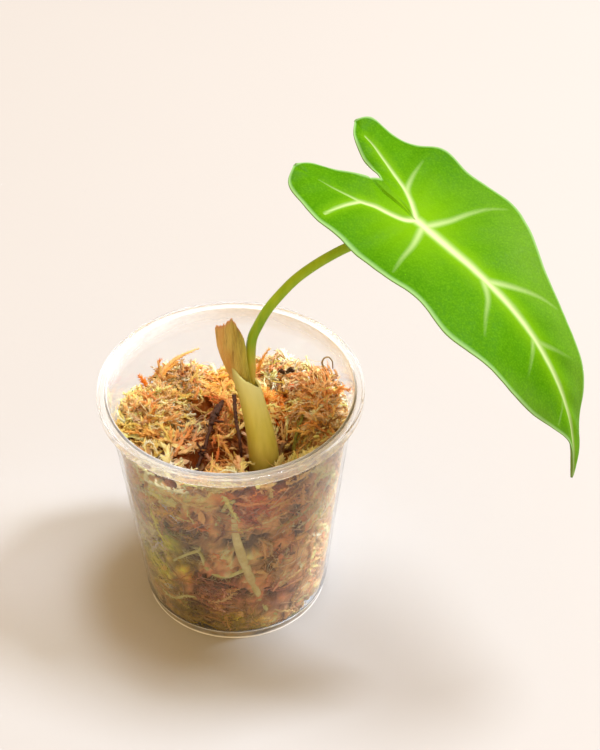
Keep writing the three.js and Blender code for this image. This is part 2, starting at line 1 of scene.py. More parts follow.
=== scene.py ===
"""A potted frydek alocasia: one velvet leaf on a thin stalk, in a clear cup of long-fibre moss.

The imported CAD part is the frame, and each operator replaces its nodes by finer pieces of the same
form. Places and sizes are in millimetres until a mesh is made, which is in metres.
"""

from math import cos, exp, hypot, pi, radians, sin

import bpy
import numpy as np
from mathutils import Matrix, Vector, noise


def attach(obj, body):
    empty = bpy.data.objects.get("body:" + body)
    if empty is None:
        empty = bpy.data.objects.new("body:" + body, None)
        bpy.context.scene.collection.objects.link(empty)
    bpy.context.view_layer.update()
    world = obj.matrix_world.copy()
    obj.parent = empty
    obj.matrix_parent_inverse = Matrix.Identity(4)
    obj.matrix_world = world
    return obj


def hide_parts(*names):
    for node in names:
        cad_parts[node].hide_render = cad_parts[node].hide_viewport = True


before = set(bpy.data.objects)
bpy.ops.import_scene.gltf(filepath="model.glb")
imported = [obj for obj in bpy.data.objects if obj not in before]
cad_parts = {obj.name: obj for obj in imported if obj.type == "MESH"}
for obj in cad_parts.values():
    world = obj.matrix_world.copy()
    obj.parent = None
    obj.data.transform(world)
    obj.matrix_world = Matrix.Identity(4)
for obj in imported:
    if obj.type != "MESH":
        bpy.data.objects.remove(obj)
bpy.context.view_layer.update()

bl_info = {
    "name": "Potted alocasia",
    "version": (1, 0, 0),
    "blender": (4, 5, 0),
    "location": "3D View > Sidebar > Plant",
    "description": "Builds a young alocasia in a clear cup of moss around its packed frame",
    "category": "Add Mesh",
}

MM = 0.001

# Studio, in metres: the floor, the camera's lens and tilt, what it looks at and from how far
FLOOR_R = 3
FLOOR_SIDES = 96
FLOOR_Z = -0.0001
LENS = 85
SENSOR = 36
CAMERA_TILT = radians(41.425)
CAMERA_AIM = (0.0232, 0, 0.0963)
CAMERA_FAR = 0.5897
# Lamps: their direction and height in degrees, distance and width in metres, power and colour
KEY_LAMP = (5, 54, 2.6, 0.42, 92, (0.725, 0.825, 1.0))
TOP_LAMP = (32, 77, 2.6, 0.7, 52, (0.78, 0.87, 1.0))
# The light from all round, the wall that the camera sees, and the floor's darker clouds
ROOM_LIGHT = (1.0, 0.69, 0.335, 1)
ROOM_WALL = (0.62, 0.57, 0.52, 1)
FLOOR_CLOUD = (0.37, 0.347, 0.316, 1)

# Cup
CUP_HEIGHT = 91.6
RIM_R = 45.0
LIP_DROP = 3.3
WALL_TOP_R = 42.1
TAPER = 0.102
WALL = 0.9
LEDGE_Z = 81.0
LEDGE_OUT = 0.25
FLOOR = 1.2
FOOT_R = 31.9
CUP_SIDES = 224
# Longest steps of its outline, on the wall and at the foot
WALL_STEP = 6.0
FOOT_STEP = 0.35
# Painted highlights: where the plastic is made whiter, as r, z, reach and strength: at the edges of lip,
# rim and foot
CUP_HIGHLIGHTS = [
    (45, 91.3, 0.36, 0.62), (45, 88.4, 0.3, 0.5), (41.4, 91.4, 0.5, 1.7), (41.1, 90.4, 1.0, 1.3),
    (42, 90.4, 0.5, 0.5), (44.1, 90.7, 0.3, 0.4), (32.4, 0.5, 0.55, 3), (31.2, 0, 0.5, 2),
    (31, 2, 0.6, 0.5), (33.2, 4.3, 0.3, 1.5),
]
# Heights between which the outside of the foot is painted olive, a painted view of the moss and water
# behind it
FOOT_BAND = [(0.8, 0), (1.3, 1), (3.5, 1), (4.1, 0)]

# Leaf: where midrib and back veins meet, its heading, the midrib's fall and the blade's waves
JOINT = np.array([58.7, -8.0, 165.8])
HEADING = radians(-39.3)
PITCH = [(0, 20), (18, 20), (37, 31), (56, 50), (74, 67), (88, 79), (104, 88)]
ROLL = radians(-3)
QUILT = 0.45
EDGE_WAVE = 1.2
KEEL = 2.0
KEEL_TIP = 0.3
MIDRIB = 106
# The mesh's rows from one rib to the next, and its points from the middle out to the margin
LEAF_ROWS = 16
LEAF_COLUMNS = 46
# The pale glow round the joint: how strong and how far
JOINT_GLOW = (0.75, 16)

# Ribs from a back lobe's tip to the leaf's tip: u, v at the middle, and u, v at the margin
RIGHT_RIBS = [
    (-39, 16, -39, 16), (-33, 14.2, -36, 21), (-25, 11.7, -28, 23.2), (-16, 8.8, -20, 25.4),
    (-8, 5.4, -13, 30), (0, 0, -3, 30.8), (4, 0, 14, 32.8), (14, 0, 24, 28), (24, 0, 36, 22),
    (32, 0, 50, 18.3), (44, 0, 62, 14.4), (57, 0, 74, 11), (71, 0, 85, 7.2), (86, 0.8, 94, 4.8),
    (103.5, 1, 103.5, 1),
]
LEFT_RIBS = [
    (-37.6, -16.5, -37.6, -16.5), (-31, -14.6, -34.5, -22.2), (-24, -12, -27, -26),
    (-15.5, -9, -18.5, -29), (-7.5, -5.4, -9, -27), (0, 0, -1, -27.2), (4, 0, 9.5, -28),
    (14, 0, 21, -25.5), (24, 0, 33, -26.4), (32, 0, 45, -24), (44, 0, 56, -21.2),
    (57, 0, 68, -14.6), (71, 0, 78, -7.7), (86, 0.8, 88, -1.5), (103.5, 1, 103.5, 1),
]
RIGHT_INNER = [(-39, 16), (-35, 10.4), (-28, 7), (-21.5, 4.8), (-17.5, 2.5)]
LEFT_INNER = [(-37.6, -16.5), (-35, -9), (-28, -4.6), (-21.5, -1), (-17.5, 2.5)]
# Ribs from a lobe's tip to the joint, and a distance that counts as far from any margin
BACK_RIBS = 5
FAR_IN = 20

# Veins in u, v: their line, and how wide and how bright they are at both ends
VEINS = [
    ([(0, 0), (14, 0), (32, 0), (57, 0), (86, 0.8), (103.5, 1)], (1.5, 0.4), (1.0, 0.5)),
    (
        [(0, 0), (-8.6, 6.2), (-14.2, 8.3), (-20.9, 10.5), (-27.7, 12.7), (-32.4, 13.6)],
        (0.9, 0.3), (0.95, 0.45),
    ),
    ([(0, 0), (-3, -3.5), (-7.3, -5.4), (-11.8, -7.1), (-15.7, -9.5)], (0.95, 0.6), (0.95, 0.8)),
    ([(-15.7, -9.5), (-17.3, -14.6), (-18.2, -19.5), (-18.5, -24.5)], (0.6, 0.35), (0.8, 0.55)),
    ([(-15.7, -9.5), (-22, -12), (-29, -14.3)], (0.5, 0.2), (0.55, 0.15)),
    ([(3.2, 0), (6.5, 9.7), (8.4, 17.4), (11, 24.2), (14.9, 29.2)], (1.1, 0.45), (0.6, 0.1)),
    ([(2.6, 0), (5.5, -9.1), (6.9, -16.9), (8.8, -24.3)], (1.1, 0.45), (0.6, 0.1)),
    ([(28.5, 0), (35.2, 6.5), (39.6, 10.4), (43.9, 13.5), (49.1, 16.1)], (1.1, 0.45), (0.55, 0.1)),
    ([(26.5, 0), (32.5, -4.7), (36.4, -10.7), (40.4, -16.3)], (1.1, 0.45), (0.5, 0.08)),
    ([(-8.6, 6.2), (-10, 7.7), (-12.3, 13.2), (-14.3, 21)], (0.9, 0.4), (0.5, 0.08)),
    ([(50, 0), (54.6, -5.6), (58.7, -12.2)], (0.8, 0.35), (0.35, 0.05)),
    ([(52, 0), (58, 5), (64, 9.6)], (0.8, 0.35), (0.3, 0.05)),
    ([(72, 0.2), (75.5, -3), (78, -5.5)], (0.4, 0.2), (0.25, 0.1)),
]

# Stalks: the swollen base's line and its radius along it, and the slanting plane of its lip
STEM_PATH = [
    (12.4, -17.6, 50), (11.5, -17, 67), (10.6, -16, 80), (7.9, -14.5, 96.5), (5.6, -13.2, 107),
    (4.4, -12.6, 114),
]
STEM_R = [(0, 5.8), (0.27, 5.4), (0.48, 4.8), (0.75, 4.0), (1, 4.0)]
LIP_POINT = np.array([0.3, -13, 112.5])
LIP_TURN = (radians(-8), radians(43))
# How far the lip's rounded edge turns in and rises, step by step
LIP_ROLL = [(0.25, 0.22), (0.55, 0.28), (0.8, 0.1)]
# The thin stalk's line, up to the leaf, and its radius at both ends
STALK_PATH = [
    (6.7, -11.7, 101), (7.2, -11.2, 108), (7.4, -10.8, 116.4), (8.1, -10.6, 121.8),
    (9.9, -10.6, 126.6), (13, -10.6, 133.1), (16.9, -10.6, 139), (21.7, -10.6, 145.1),
    (27.1, -10.6, 150.2), (33, -10.6, 154.7), (38.5, -10.4, 158), (48.5, -9.5, 162),
    tuple(JOINT - np.array([0, 0, 1.4])),
]
STALK_R = (1.7, 1.45)
# The old stub's curl: height, middle x, half width, middle y, how far it stands out
STUB_LEVELS = [
    (101, 6.3, 2.6, -12, 3.2), (105, 4.9, 3.5, -11.6, 3.6), (108.6, 3.8, 4.2, -11.3, 3.9),
    (114, 2.7, 4.9, -10.9, 4.1), (119, 2.1, 5.4, -10.5, 4.2), (124, 1.5, 5.1, -10.3, 4.1),
    (131, 1.2, 4.7, -10.1, 4.0),
]
# Its torn top edge: degrees round the curl and height
STUB_EDGE = [
    (-95, 125), (-72, 127.2), (-50, 128), (-34, 129), (-20, 129.8), (-5, 131.4), (8, 132.2),
    (22, 129.8), (36, 126.6), (50, 123),
]

# Roots along the wall: direction in degrees and height, and the radius along them
ROOTS = [
    (
        [(-88, 76), (-87, 57), (-82, 40), (-75.5, 25), (-69, 13), (-60, 7)],
        [(0, 1.1), (0.3, 2.0), (0.55, 2.1), (0.8, 1.1), (1, 0.6)],
    ),
    (
        [(-126, 36), (-114, 44), (-108, 46.5), (-103.5, 37.5), (-95, 34.5), (-83, 38)],
        [(0, 0.6), (0.5, 0.9), (1, 1.1)],
    ),
    ([(-91, 74), (-101, 56), (-109, 46)], [(0, 0.9), (1, 0.7)]),
]

# Moss: half the width of the square over which its top is worked out, the radius over which
# fibres start, and how far it stays from the wall
RELIEF_HALF = 46
TOP_R = 38.3
TO_WALL = 0.6
# Heights of its top at a few places
MOSS_TOP = np.array(
    [
        (0, -38, 82), (-27, -27, 80), (27, -27, 82), (-38, 0, 74), (39, 0, 79), (28, 26, 74),
        (2, 38, 66), (-26, 26, 68), (-9, 4, 75), (11, -17, 69), (20, -12, 68), (-8, -18, 75),
        (14, 14, 70),
    ],
    float,
)

# Colours of the moss fibres, as a screen shows them in full light
FIBRES = {
    "gold": (255, 194, 98), "yellow": (255, 212, 138), "orange": (255, 150, 40),
    "rust": (232, 98, 34), "tan": (255, 188, 118), "straw": (255, 210, 138),
    # 'dark' stands for painted shade in the clefts, crevices and hollows where the patches and the
    # imported moss use it
    "cream": (255, 234, 200), "brown": (150, 82, 32), "dark": (62, 36, 18), "olive": (176, 158, 20),
    "green": (186, 204, 60), "mauve": (206, 130, 104), "pink": (250, 198, 150),
}
# How much more a patch counts than the base colours, and the darkest that moss gets
PATCH_PULL = 3.5
DARKEST = 0.004
# How far the shading of fibres and leaflets leans away from what they cover
FIBRE_LEAN = 0.5
LEAFLET_LEAN = 0.65
# Clefts in the top: x, y, reach and depth
CLEFTS = [
    (-17, 5, 3.6, 7), (-10, 6, 3.6, 7), (-29, -11, 3.6, 6), (-20, -6, 3.2, 6), (-23, -20, 3.4, 5),
    (-18, 20, 3, 3), (-3, -14, 4, 5), (-8, -13, 3, 3), (-10, -21, 3.6, 5), (-11.5, -28, 3.6, 9),
    (4, -9, 3, 4), (17.4, -14, 4, 5), (18, -5, 3.4, 6), (21.5, -11, 3, 4), (25, 8, 3.2, 5),
]
# Patches of the top: x, y, reach, colour, weight; the dark one is painted shade in a crevice
TOP_PATCHES = [
    (-34, 7, 9, "yellow", 5), (-33, -3, 7, "gold", 5), (-30, 19, 6, "orange", 3),
    (-20, 12, 9, "gold", 5), (-17, 22, 8, "orange", 3), (-16, 2, 7, "cream", 4),
    (-18, -9, 6, "brown", 4), (-20, -22, 8, "cream", 5), (-9, 8, 7, "rust", 4),
    (-5, -14, 7, "rust", 4), (-2, -4, 6, "brown", 5), (-3, 24, 9, "orange", 4),
    (1, -20, 6, "tan", 3), (10, 28, 6, "rust", 5), (18, 30, 8, "cream", 6),
    (18, 18, 7, "orange", 5), (17, 5, 6, "straw", 5), (16, -8, 6, "dark", 6),
    (30, 2, 12, "straw", 3), (-27, -12, 8, "gold", 5),
]
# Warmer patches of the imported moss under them
WARM_PATCHES = [
    (-32, 6, 11, "orange", 4), (-20, 21, 10, "orange", 4), (14, 16, 10, "orange", 3),
    (18, 28, 8, "gold", 4),
]
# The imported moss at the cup's floor: radius and height, from the middle out
MOSS_FLOOR = [(6, 1.8), (14, 1.8), (22, 1.8), (28, 1.8), (30.1, 2.1), (31, 2.9)]
# Patches of the wall: direction in degrees, height, reach, colour, weight; the dark ones are painted shade
# in its hollows
WALL_PATCHES = [
    (-77, 74, 9, "rust", 8), (-92, 77, 6, "orange", 7), (-118, 68, 8, "orange", 7),
    (-57, 76, 8, "dark", 4), (-69, 56, 7, "dark", 3), (-106, 63, 8, "brown", 5),
    (-111, 21, 6, "dark", 4), (-108, 9, 6, "dark", 5), (-99, 28, 12, "mauve", 10),
    (-61, 22, 9, "mauve", 9), (-38, 34, 16, "tan", 6), (-125, 58, 8, "olive", 7),
    (-121, 38, 5.5, "olive", 30), (-129, 49, 4.5, "green", 16), (-124, 44, 3.5, "green", 12),
    (-138, 40, 5, "cream", 10), (-110, 47, 4, "dark", 8), (-115, 30, 4, "orange", 6),
    (-127, 26, 4.5, "dark", 6), (-146, 30, 12, "green", 8), (-120, 8, 8, "olive", 9),
    (-89, 6, 9, "olive", 9), (-57, 47, 7, "rust", 4), (-124, 75, 10, "tan", 14),
    (-112, 73, 8, "tan", 8), (-100, 71, 6, "straw", 4), (-48, 66, 9, "tan", 5),
    (-24, 30, 14, "orange", 3), (10, 50, 30, "tan", 3), (-84, 48, 8, "straw", 4),
]
# Millimetres round the wall for each degree
WALL_MM = 0.65
# Painted light and shade on the wall's moss: direction in degrees, height, reach and how much
WALL_LIGHT = [
    (-124, 72, 13, 0.8), (-96, 72, 8, 0.25), (-60, 62, 6, -0.8), (-52, 76, 6, -0.7),
    (-84, 50, 7, 0.5), (-36, 44, 12, 0.35), (-70, 44, 5, -0.6), (-112, 14, 12, -0.5),
    (-112, 46, 4, -0.7), (-138, 38, 5, 0.4), (-116, 52, 7, -0.5), (-98, 56, 8, -0.5),
    (-44, 14, 9, -0.3),
]


# Small tools
def screen(red, green, blue, alpha=1.0):
    """A colour given as a screen shows it, 0 to 255, as Blender counts it."""
    shares = [c / 255 for c in (red, green, blue)]
    return tuple(s / 12.92 if s <= 0.04045 else ((s + 0.055) / 1.055) ** 2.4 for s in shares) + (alpha,)


def fibre_colour(name):
    """One of the moss's colours, without its alpha."""
    return screen(*FIBRES[name])[:3]


def solid(colour):
    """A colour from the settings, with its alpha."""
    return tuple(colour) + (1,)


def unit(v):
    """Vectors of length one."""
    return v / np.maximum(np.linalg.norm(v, axis=-1, keepdims=True), 1e-9)


def along(table, x):
    """The value at x in a table of (x, value), with straight lines between."""
    return np.interp(x, [a for a, _ in table], [b for _, b in table])


def smooth(points, t):
    """Points at shares t of the way through a list of points, on a smooth curve."""
    points = np.asarray(points, float)
    padded = np.vstack([2 * points[0] - points[1], points, 2 * points[-1] - points[-2]])
    place = np.clip(np.atleast_1d(t), 0, 1) * (len(points) - 1)
    i = np.minimum(place.astype(int), len(points) - 2)
    w = (place - i)[:, None]
    p0, p1, p2, p3 = (padded[i + k] for k in range(4))
    steps = (np.linalg.norm(b - a, axis=1) for a, b in ((p0, p1), (p1, p2), (p2, p3)))
    d0, d1, d2 = (np.sqrt(np.maximum(step, 1e-4))[:, None] for step in steps)
    m1 = ((p1 - p0) / d0 - (p2 - p0) / (d0 + d1) + (p2 - p1) / d1) * d1
    m2 = ((p2 - p1) / d1 - (p3 - p1) / (d1 + d2) + (p3 - p2) / d2) * d1
    w2, w3 = w * w, w**3
    return (2 * w3 - 3 * w2 + 1) * p1 + (w3 - 2 * w2 + w) * m1 + (3 * w2 - 2 * w3) * p2 + (w3 - w2) * m2


def evenly(points, count):
    """count points at even distances on a smooth curve."""
    fine = smooth(points, np.linspace(0, 1, 400))
    length = np.concatenate([[0], np.cumsum(np.linalg.norm(np.diff(fine, axis=0), axis=1))])
    at = np.linspace(0, length[-1], count)
    return np.stack([np.interp(at, length, fine[:, k]) for k in range(3)], axis=1)


def wall_r(z):
    """The outer radius of the cup's wall."""
    return WALL_TOP_R - TAPER * (CUP_HEIGHT - z) + np.where(np.asarray(z) > LEDGE_Z, LEDGE_OUT, 0)


def inside_r(z):
    """The inner radius of the cup's wall."""
    return wall_r(z) - WALL


def on_wall(degrees, z, depth):
    """Points at a depth inside the cup's wall."""
    angle = np.radians(degrees)
    r = inside_r(np.asarray(z, float)) - depth
    return np.stack([r * np.cos(angle), r * np.sin(angle), np.asarray(z, float) + 0 * angle], axis=-1)


def press_in(points, margin):
    """Moves points that come closer to the wall or the floor than margin back in."""
    out = points.copy()
    r = np.hypot(out[..., 0], out[..., 1])
    most = inside_r(out[..., 2]) - margin
    share = np.minimum(1, most / np.maximum(r, 1e-6))
    out[..., 0] *= share
    out[..., 1] *= share
    out[..., 2] = np.maximum(out[..., 2], FLOOR + 0.35)
    return out


def wall_place(points):
    """Places on the unrolled wall: millimetres round it and height."""
    degrees = np.degrees(np.arctan2(points[..., 1], points[..., 0]))
    return np.stack([degrees * WALL_MM, points[..., 2]], axis=-1)


def rough(points, scale, depth=4):
    """Fractal noise at points, about -1 to 1."""
    return np.array([noise.fractal(Vector(p) * scale, 1.0, 2.0, depth) for p in points])


def lumps(x, y, z):
    """The moss's broad swells."""
    return (
        np.sin(0.41 * x + 1.3 * np.sin(0.23 * y + 0.1 * z))
        + np.sin(0.47 * y - 0.22 * z + 1.1 * np.sin(0.31 * x))
        + 0.8 * np.sin(0.83 * z + 0.7 * y - 0.5 * x)
    )


def moss_top(x, y):
    """Height of the moss's top."""
    x, y = np.asarray(x, float), np.asarray(y, float)
    far = (x[..., None] - MOSS_TOP[:, 0]) ** 2 + (y[..., None] - MOSS_TOP[:, 1]) ** 2
    weight = 1 / (20 + far) ** 1.5
    return (weight * MOSS_TOP[:, 2]).sum(-1) / weight.sum(-1) + 0.9 * lumps(x, y, 0)


# Meshes
def circle(sides):
    """Even angles round a circle."""
    return np.linspace(0, 2 * np.pi, sides, endpoint=False)


def halved(quads):
    """Four-cornered faces as triangles."""
    return np.concatenate([quads[:, [0, 1, 2]], quads[:, [0, 2, 3]]])


class Heap:
    """Points and triangles that become one mesh, with numbers or colours for each point."""

    def __init__(self):
        self.points, self.faces, self.facing, self.extra, self.count = [], [], [], {}, 0

    def add(self, points, faces, facing=None, **extra):
        """Adds points (n, 3) and faces of 3 or 4 corners, with facing and extra for each point."""
        points = np.asarray(points, float).reshape(-1, 3)
        faces = np.asarray(faces, int)
        if faces.shape[1] == 4:
            faces = halved(faces)
        self.points.append(points)
        self.faces.append(faces + self.count)
        if facing is not None:
            self.facing.append(facing.reshape(-1, 3))
        for key, value in extra.items():
            value = np.asarray(value, float)
            whole = np.broadcast_to(value, (len(points),) + value.shape[1:])
            self.extra.setdefault(key, []).append(whole)
        self.count += len(points)
        return self

    def soft_normals(self, points, faces):
        """The facing of each face's corners, mirrored where it would point behind the face."""
        a, b, c = (points[faces[:, k]] for k in range(3))
        flat = unit(np.cross(b - a, c - a))[:, None]
        normals = unit(np.concatenate(self.facing))[faces]
        behind = np.minimum((normals * flat).sum(-1, keepdims=True), 0)
        return unit(normals - 2 * behind * flat).reshape(-1, 3)

    def piece(self, name, finish, slot, nodes):
        """Makes the piece, which rides on the part's only body and stands for CAD nodes."""
        old = bpy.data.objects.get(name)
        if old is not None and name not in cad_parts:
            bpy.data.objects.remove(old)
        points = np.concatenate(self.points) * MM
        faces = np.concatenate(self.faces)
        mesh = bpy.data.meshes.new(name)
        mesh.vertices.add(len(points))
        mesh.vertices.foreach_set("co", points.astype(np.float32).ravel())
        mesh.loops.add(faces.size)
        mesh.loops.foreach_set("vertex_index", faces.astype(np.int32).ravel())
        mesh.polygons.add(len(faces))
        mesh.polygons.foreach_set("loop_start", np.arange(0, faces.size, 3, dtype=np.int32))
        mesh.update(calc_edges=True)
        for key, values in self.extra.items():
            value = np.concatenate(values).astype(np.float32)
            kind, part = ("FLOAT_COLOR", "color") if value.ndim > 1 else ("FLOAT", "value")
            mesh.attributes.new(key, kind, "POINT").data.foreach_set(part, value.ravel())
        mesh.polygons.foreach_set("use_smooth", np.ones(len(faces), bool))
        mesh.materials.append(finish)
        mesh.validate()
        if self.facing:
            mesh.normals_split_custom_set(self.soft_normals(points, faces).tolist())
        piece = bpy.data.objects.new(name, mesh)
        bpy.context.scene.collection.objects.link(piece)
        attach(piece, "root")
        if nodes:
            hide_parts(*nodes)
        return piece


def grid_faces(rows, columns, closed):
    """Faces of rows of points, each row closed or not."""
    faces = []
    for i in range(rows - 1):
        for j in range(columns if closed else columns - 1):
            k = (j + 1) % columns
            faces.append((i * columns + j, i * columns + k, (i + 1) * columns + k, (i + 1) * columns + j))
    return np.array(faces)


def capped_faces(rows, sides):
    """Triangles of closed rings, with a fan at each end round one more point for each."""
    j = np.arange(sides)
    k = (j + 1) % sides
    last = (rows - 1) * sides
    start_fan = np.stack([k, j, np.full(sides, rows * sides)], axis=1)
    end_fan = np.stack([last + j, last + k, np.full(sides, rows * sides + 1)], axis=1)
    return np.concatenate([halved(grid_faces(rows, sides, True)), start_fan, end_fan])


def turned(r, z, sides):
    """Rings about the Z axis: a row of points for each r and z."""
    angles = circle(sides)
    r, z = r[:, None], z[:, None]
    return np.stack([r * np.cos(angles), r * np.sin(angles), z + 0 * angles], axis=-1).reshape(-1, 3)


def lathe(outline, sides):
    """A closed outline of (r, z) turned about the Z axis, from the axis back to the axis."""
    outline = np.asarray(outline, float)
    middle = outline[1:-1]
    rings = turned(middle[:, 0], middle[:, 1], sides)
    points = np.vstack([rings, [(0, 0, outline[0, 1]), (0, 0, outline[-1, 1])]])
    return points, capped_faces(len(middle), sides)


def tube(path, radius, sides, flat=1.0, facing=None, ridge=None):
    """A closed tube along points. radius has one value for each point, flat is its thickness over
    its width, facing(p) is the direction of its thin side, and ridge(angle, share) scales its radius.
    Gives points, faces, and the share along it and the angle round it of each point."""
    path = np.asarray(path, float)
    count = len(path)
    tangent = unit(np.gradient(path, axis=0))
    thin = np.zeros_like(path)
    guess = np.array([0, 0, 1.0]) if abs(tangent[0][2]) < 0.9 else np.array([1.0, 0, 0])
    for i in range(count):
        wish = facing(path[i]) if facing else (guess if i == 0 else thin[i - 1])
        thin[i] = unit(wish - tangent[i] * (wish @ tangent[i]))
    across = np.cross(tangent, thin)
    angles = circle(sides)
    share = np.linspace(0, 1, count)
    scale = np.ones((count, sides)) if ridge is None else ridge(angles[None, :], share[:, None])
    size = radius[:, None] * scale
    points = (
        path[:, None]
        + across[:, None] * (np.cos(angles) * size)[..., None]
        + thin[:, None] * (np.sin(angles) * size * flat)[..., None]
    ).reshape(-1, 3)
    points = np.vstack([points, path[0], path[-1]])
    shares = np.concatenate([np.repeat(share, sides), [0, 1]])
    turns = np.concatenate([np.tile(angles, count), [0, 0]])
    return points, capped_faces(count, sides)[:, ::-1], shares, turns


# Finishes
class Finish:
    """A node material with one Principled shader, and short names for the nodes that feed it."""

    def __init__(self, name, **values):
        self.material = bpy.data.materials.new(name)
        self.material.use_nodes = True
        self.tree = self.material.node_tree
        self.shader = self.tree.nodes["Principled BSDF"]
        self.output = self.tree.nodes["Material Output"]
        for key, value in values.items():
            self.shader.inputs[key.replace("_", " ")].default_value = value

    def node(self, kind, *links, **values):
        """A node with its first inputs linked in order, where they aren't None, and its values set."""
        made = self.tree.nodes.new("ShaderNode" + kind)
        for key, value in values.items():
            if hasattr(made, key):
                setattr(made, key, value)
            else:
                made.inputs[key.replace("_", " ")].default_value = value
        for slot, link in enumerate(links):
            if link is not None:
                self.tree.links.new(link, made.inputs[slot])
        return made

    def link(self, source, target):
        """Links an output to an input."""
        self.tree.links.new(source, target)

    def feed(self, name, source):
        """Links source to the shader's input of that name."""
        self.link(source, self.shader.inputs[name])

    def attribute(self, name, part="Fac"):
        """What the mesh holds under that name for each point."""
        return self.node("Attribute", attribute_name=name).outputs[part]

    def place(self, stretch=(1, 1, 1)):
        """The point on the object, stretched."""
        where = self.node("TexCoord").outputs["Object"]
        scaled = self.node("Mapping", where)
        scaled.inputs["Scale"].default_value = stretch
        return scaled.outputs["Vector"]

    def noise(self, scale, detail=4.0, stretch=(1, 1, 1), roughness=0.55):
        """Cloudy noise with scale patches to the metre, stretched along the axes."""
        made = self.node("TexNoise", self.place(stretch), Scale=scale, Detail=detail, Roughness=roughness)
        return made.outputs["Fac"]

    def between(self, source, low, high, to_low=0.0, to_high=1.0):
        """source, brought from low..high to to_low..to_high and held there."""
        made = self.node("MapRange", source)
        ends = {"From Min": low, "From Max": high, "To Min": to_low, "To Max": to_high}
        for key, value in ends.items():
            made.inputs[key].default_value = value
        return made.outputs["Result"]

    def put(self, value, target):
        """Sets an input to a number or a colour, or links an output to it."""
        if isinstance(value, (int, float, tuple)):
            target.default_value = value
        else:
            self.link(value, target)

    def sum(self, a, b, operation="ADD"):
        """Two numbers added, or joined by another operation."""
        made = self.node("Math", operation=operation)
        self.put(a, made.inputs[0])
        self.put(b, made.inputs[1])
        return made.outputs["Value"]

    def mix(self, factor, a, b, blend="MIX"):
        """Two colours mixed; each of factor, a and b is a number, a colour or an output."""
        made = self.node("Mix", data_type="RGBA", blend_type=blend)
        for slot, value in ((0, factor), (6, a), (7, b)):
            self.put(value, made.inputs[slot])
        return made.outputs[2]

    def lay(self, colour, source, low, high, most, tint):
        """Lays a tint over a colour, from none at low to the share most at high."""
        return self.mix(self.between(source, low, high, 0, most), colour, screen(*tint))

    def dull(self, source, low, high):
        """Varies the roughness with a noise from low to high."""
        self.feed("Roughness", self.between(source, 0.3, 0.7, low, high))

    def bump(self, height, strength, distance):
        """Raises the surface by height, where distance is in metres."""
        made = self.node("Bump", Strength=strength, Distance=distance)
        self.link(height, made.inputs["Height"])
        self.feed("Normal", made.outputs["Normal"])

    def through(self, share, colour):
        """Lets a share of the light through the surface from behind."""
        glow = self.node("BsdfTranslucent")
        self.put(colour, glow.inputs["Color"])
        blend = self.node("MixShader", None, self.shader.outputs[0], glow.outputs[0])
        blend.inputs[0].default_value = share
        self.link(blend.outputs[0], self.output.inputs["Surface"])


def clear_plastic(look):
    """Clear, slightly hazy plastic that lets the lamps reach what it holds."""
    made = Finish("clear_plastic", IOR=1.3, Roughness=0.03, Specular_IOR_Level=0.5)
    # Painted view of the moss and water seen through the foot: olive, mixed in where the foot attribute
    # says
    painted_moss_view = made.mix(made.between(made.noise(110, 3), 0.4, 0.62), screen(50, 40, 12), screen(150, 120, 18))
    patchy = made.between(made.noise(160, 3), 0.3, 0.7, 0.65, 0.95)
    foot = made.sum(made.attribute("foot"), patchy, "MULTIPLY")
    made.feed("Base Color", made.mix(foot, solid(look.tint), painted_moss_view))
    mist = made.between(made.noise(60, 3), 0.35, 0.7, look.haze * 0.5, look.haze * 1.5)
    # Painted highlight: the plastic turns milky white at the cup's edges, broken up by noise
    broken = made.between(made.noise(140, 3, (1, 1, 2.5)), 0.3, 0.7, 0.3, 0.62)
    edge = made.sum(made.attribute("edge"), broken, "MULTIPLY")
    milky = made.sum(made.sum(mist, made.sum(edge, foot, "MAXIMUM")), 0.9, "MINIMUM")
    made.feed("Transmission Weight", made.sum(1.0, milky, "SUBTRACT"))
    made.feed("Roughness", made.between(made.noise(220, 2), 0.3, 0.8, 0.0, 0.025))
    made.bump(made.noise(35, 2), 0.07, 0.0004)
    clear = made.node("BsdfTransparent", Color=(0.95, 0.95, 0.94, 1))
    path = made.node("LightPath")
    blend = made.node("MixShader", path.outputs["Is Shadow Ray"], made.shader.outputs[0], clear.outputs[0])
    made.link(blend.outputs[0], made.output.inputs["Surface"])
    return made.material


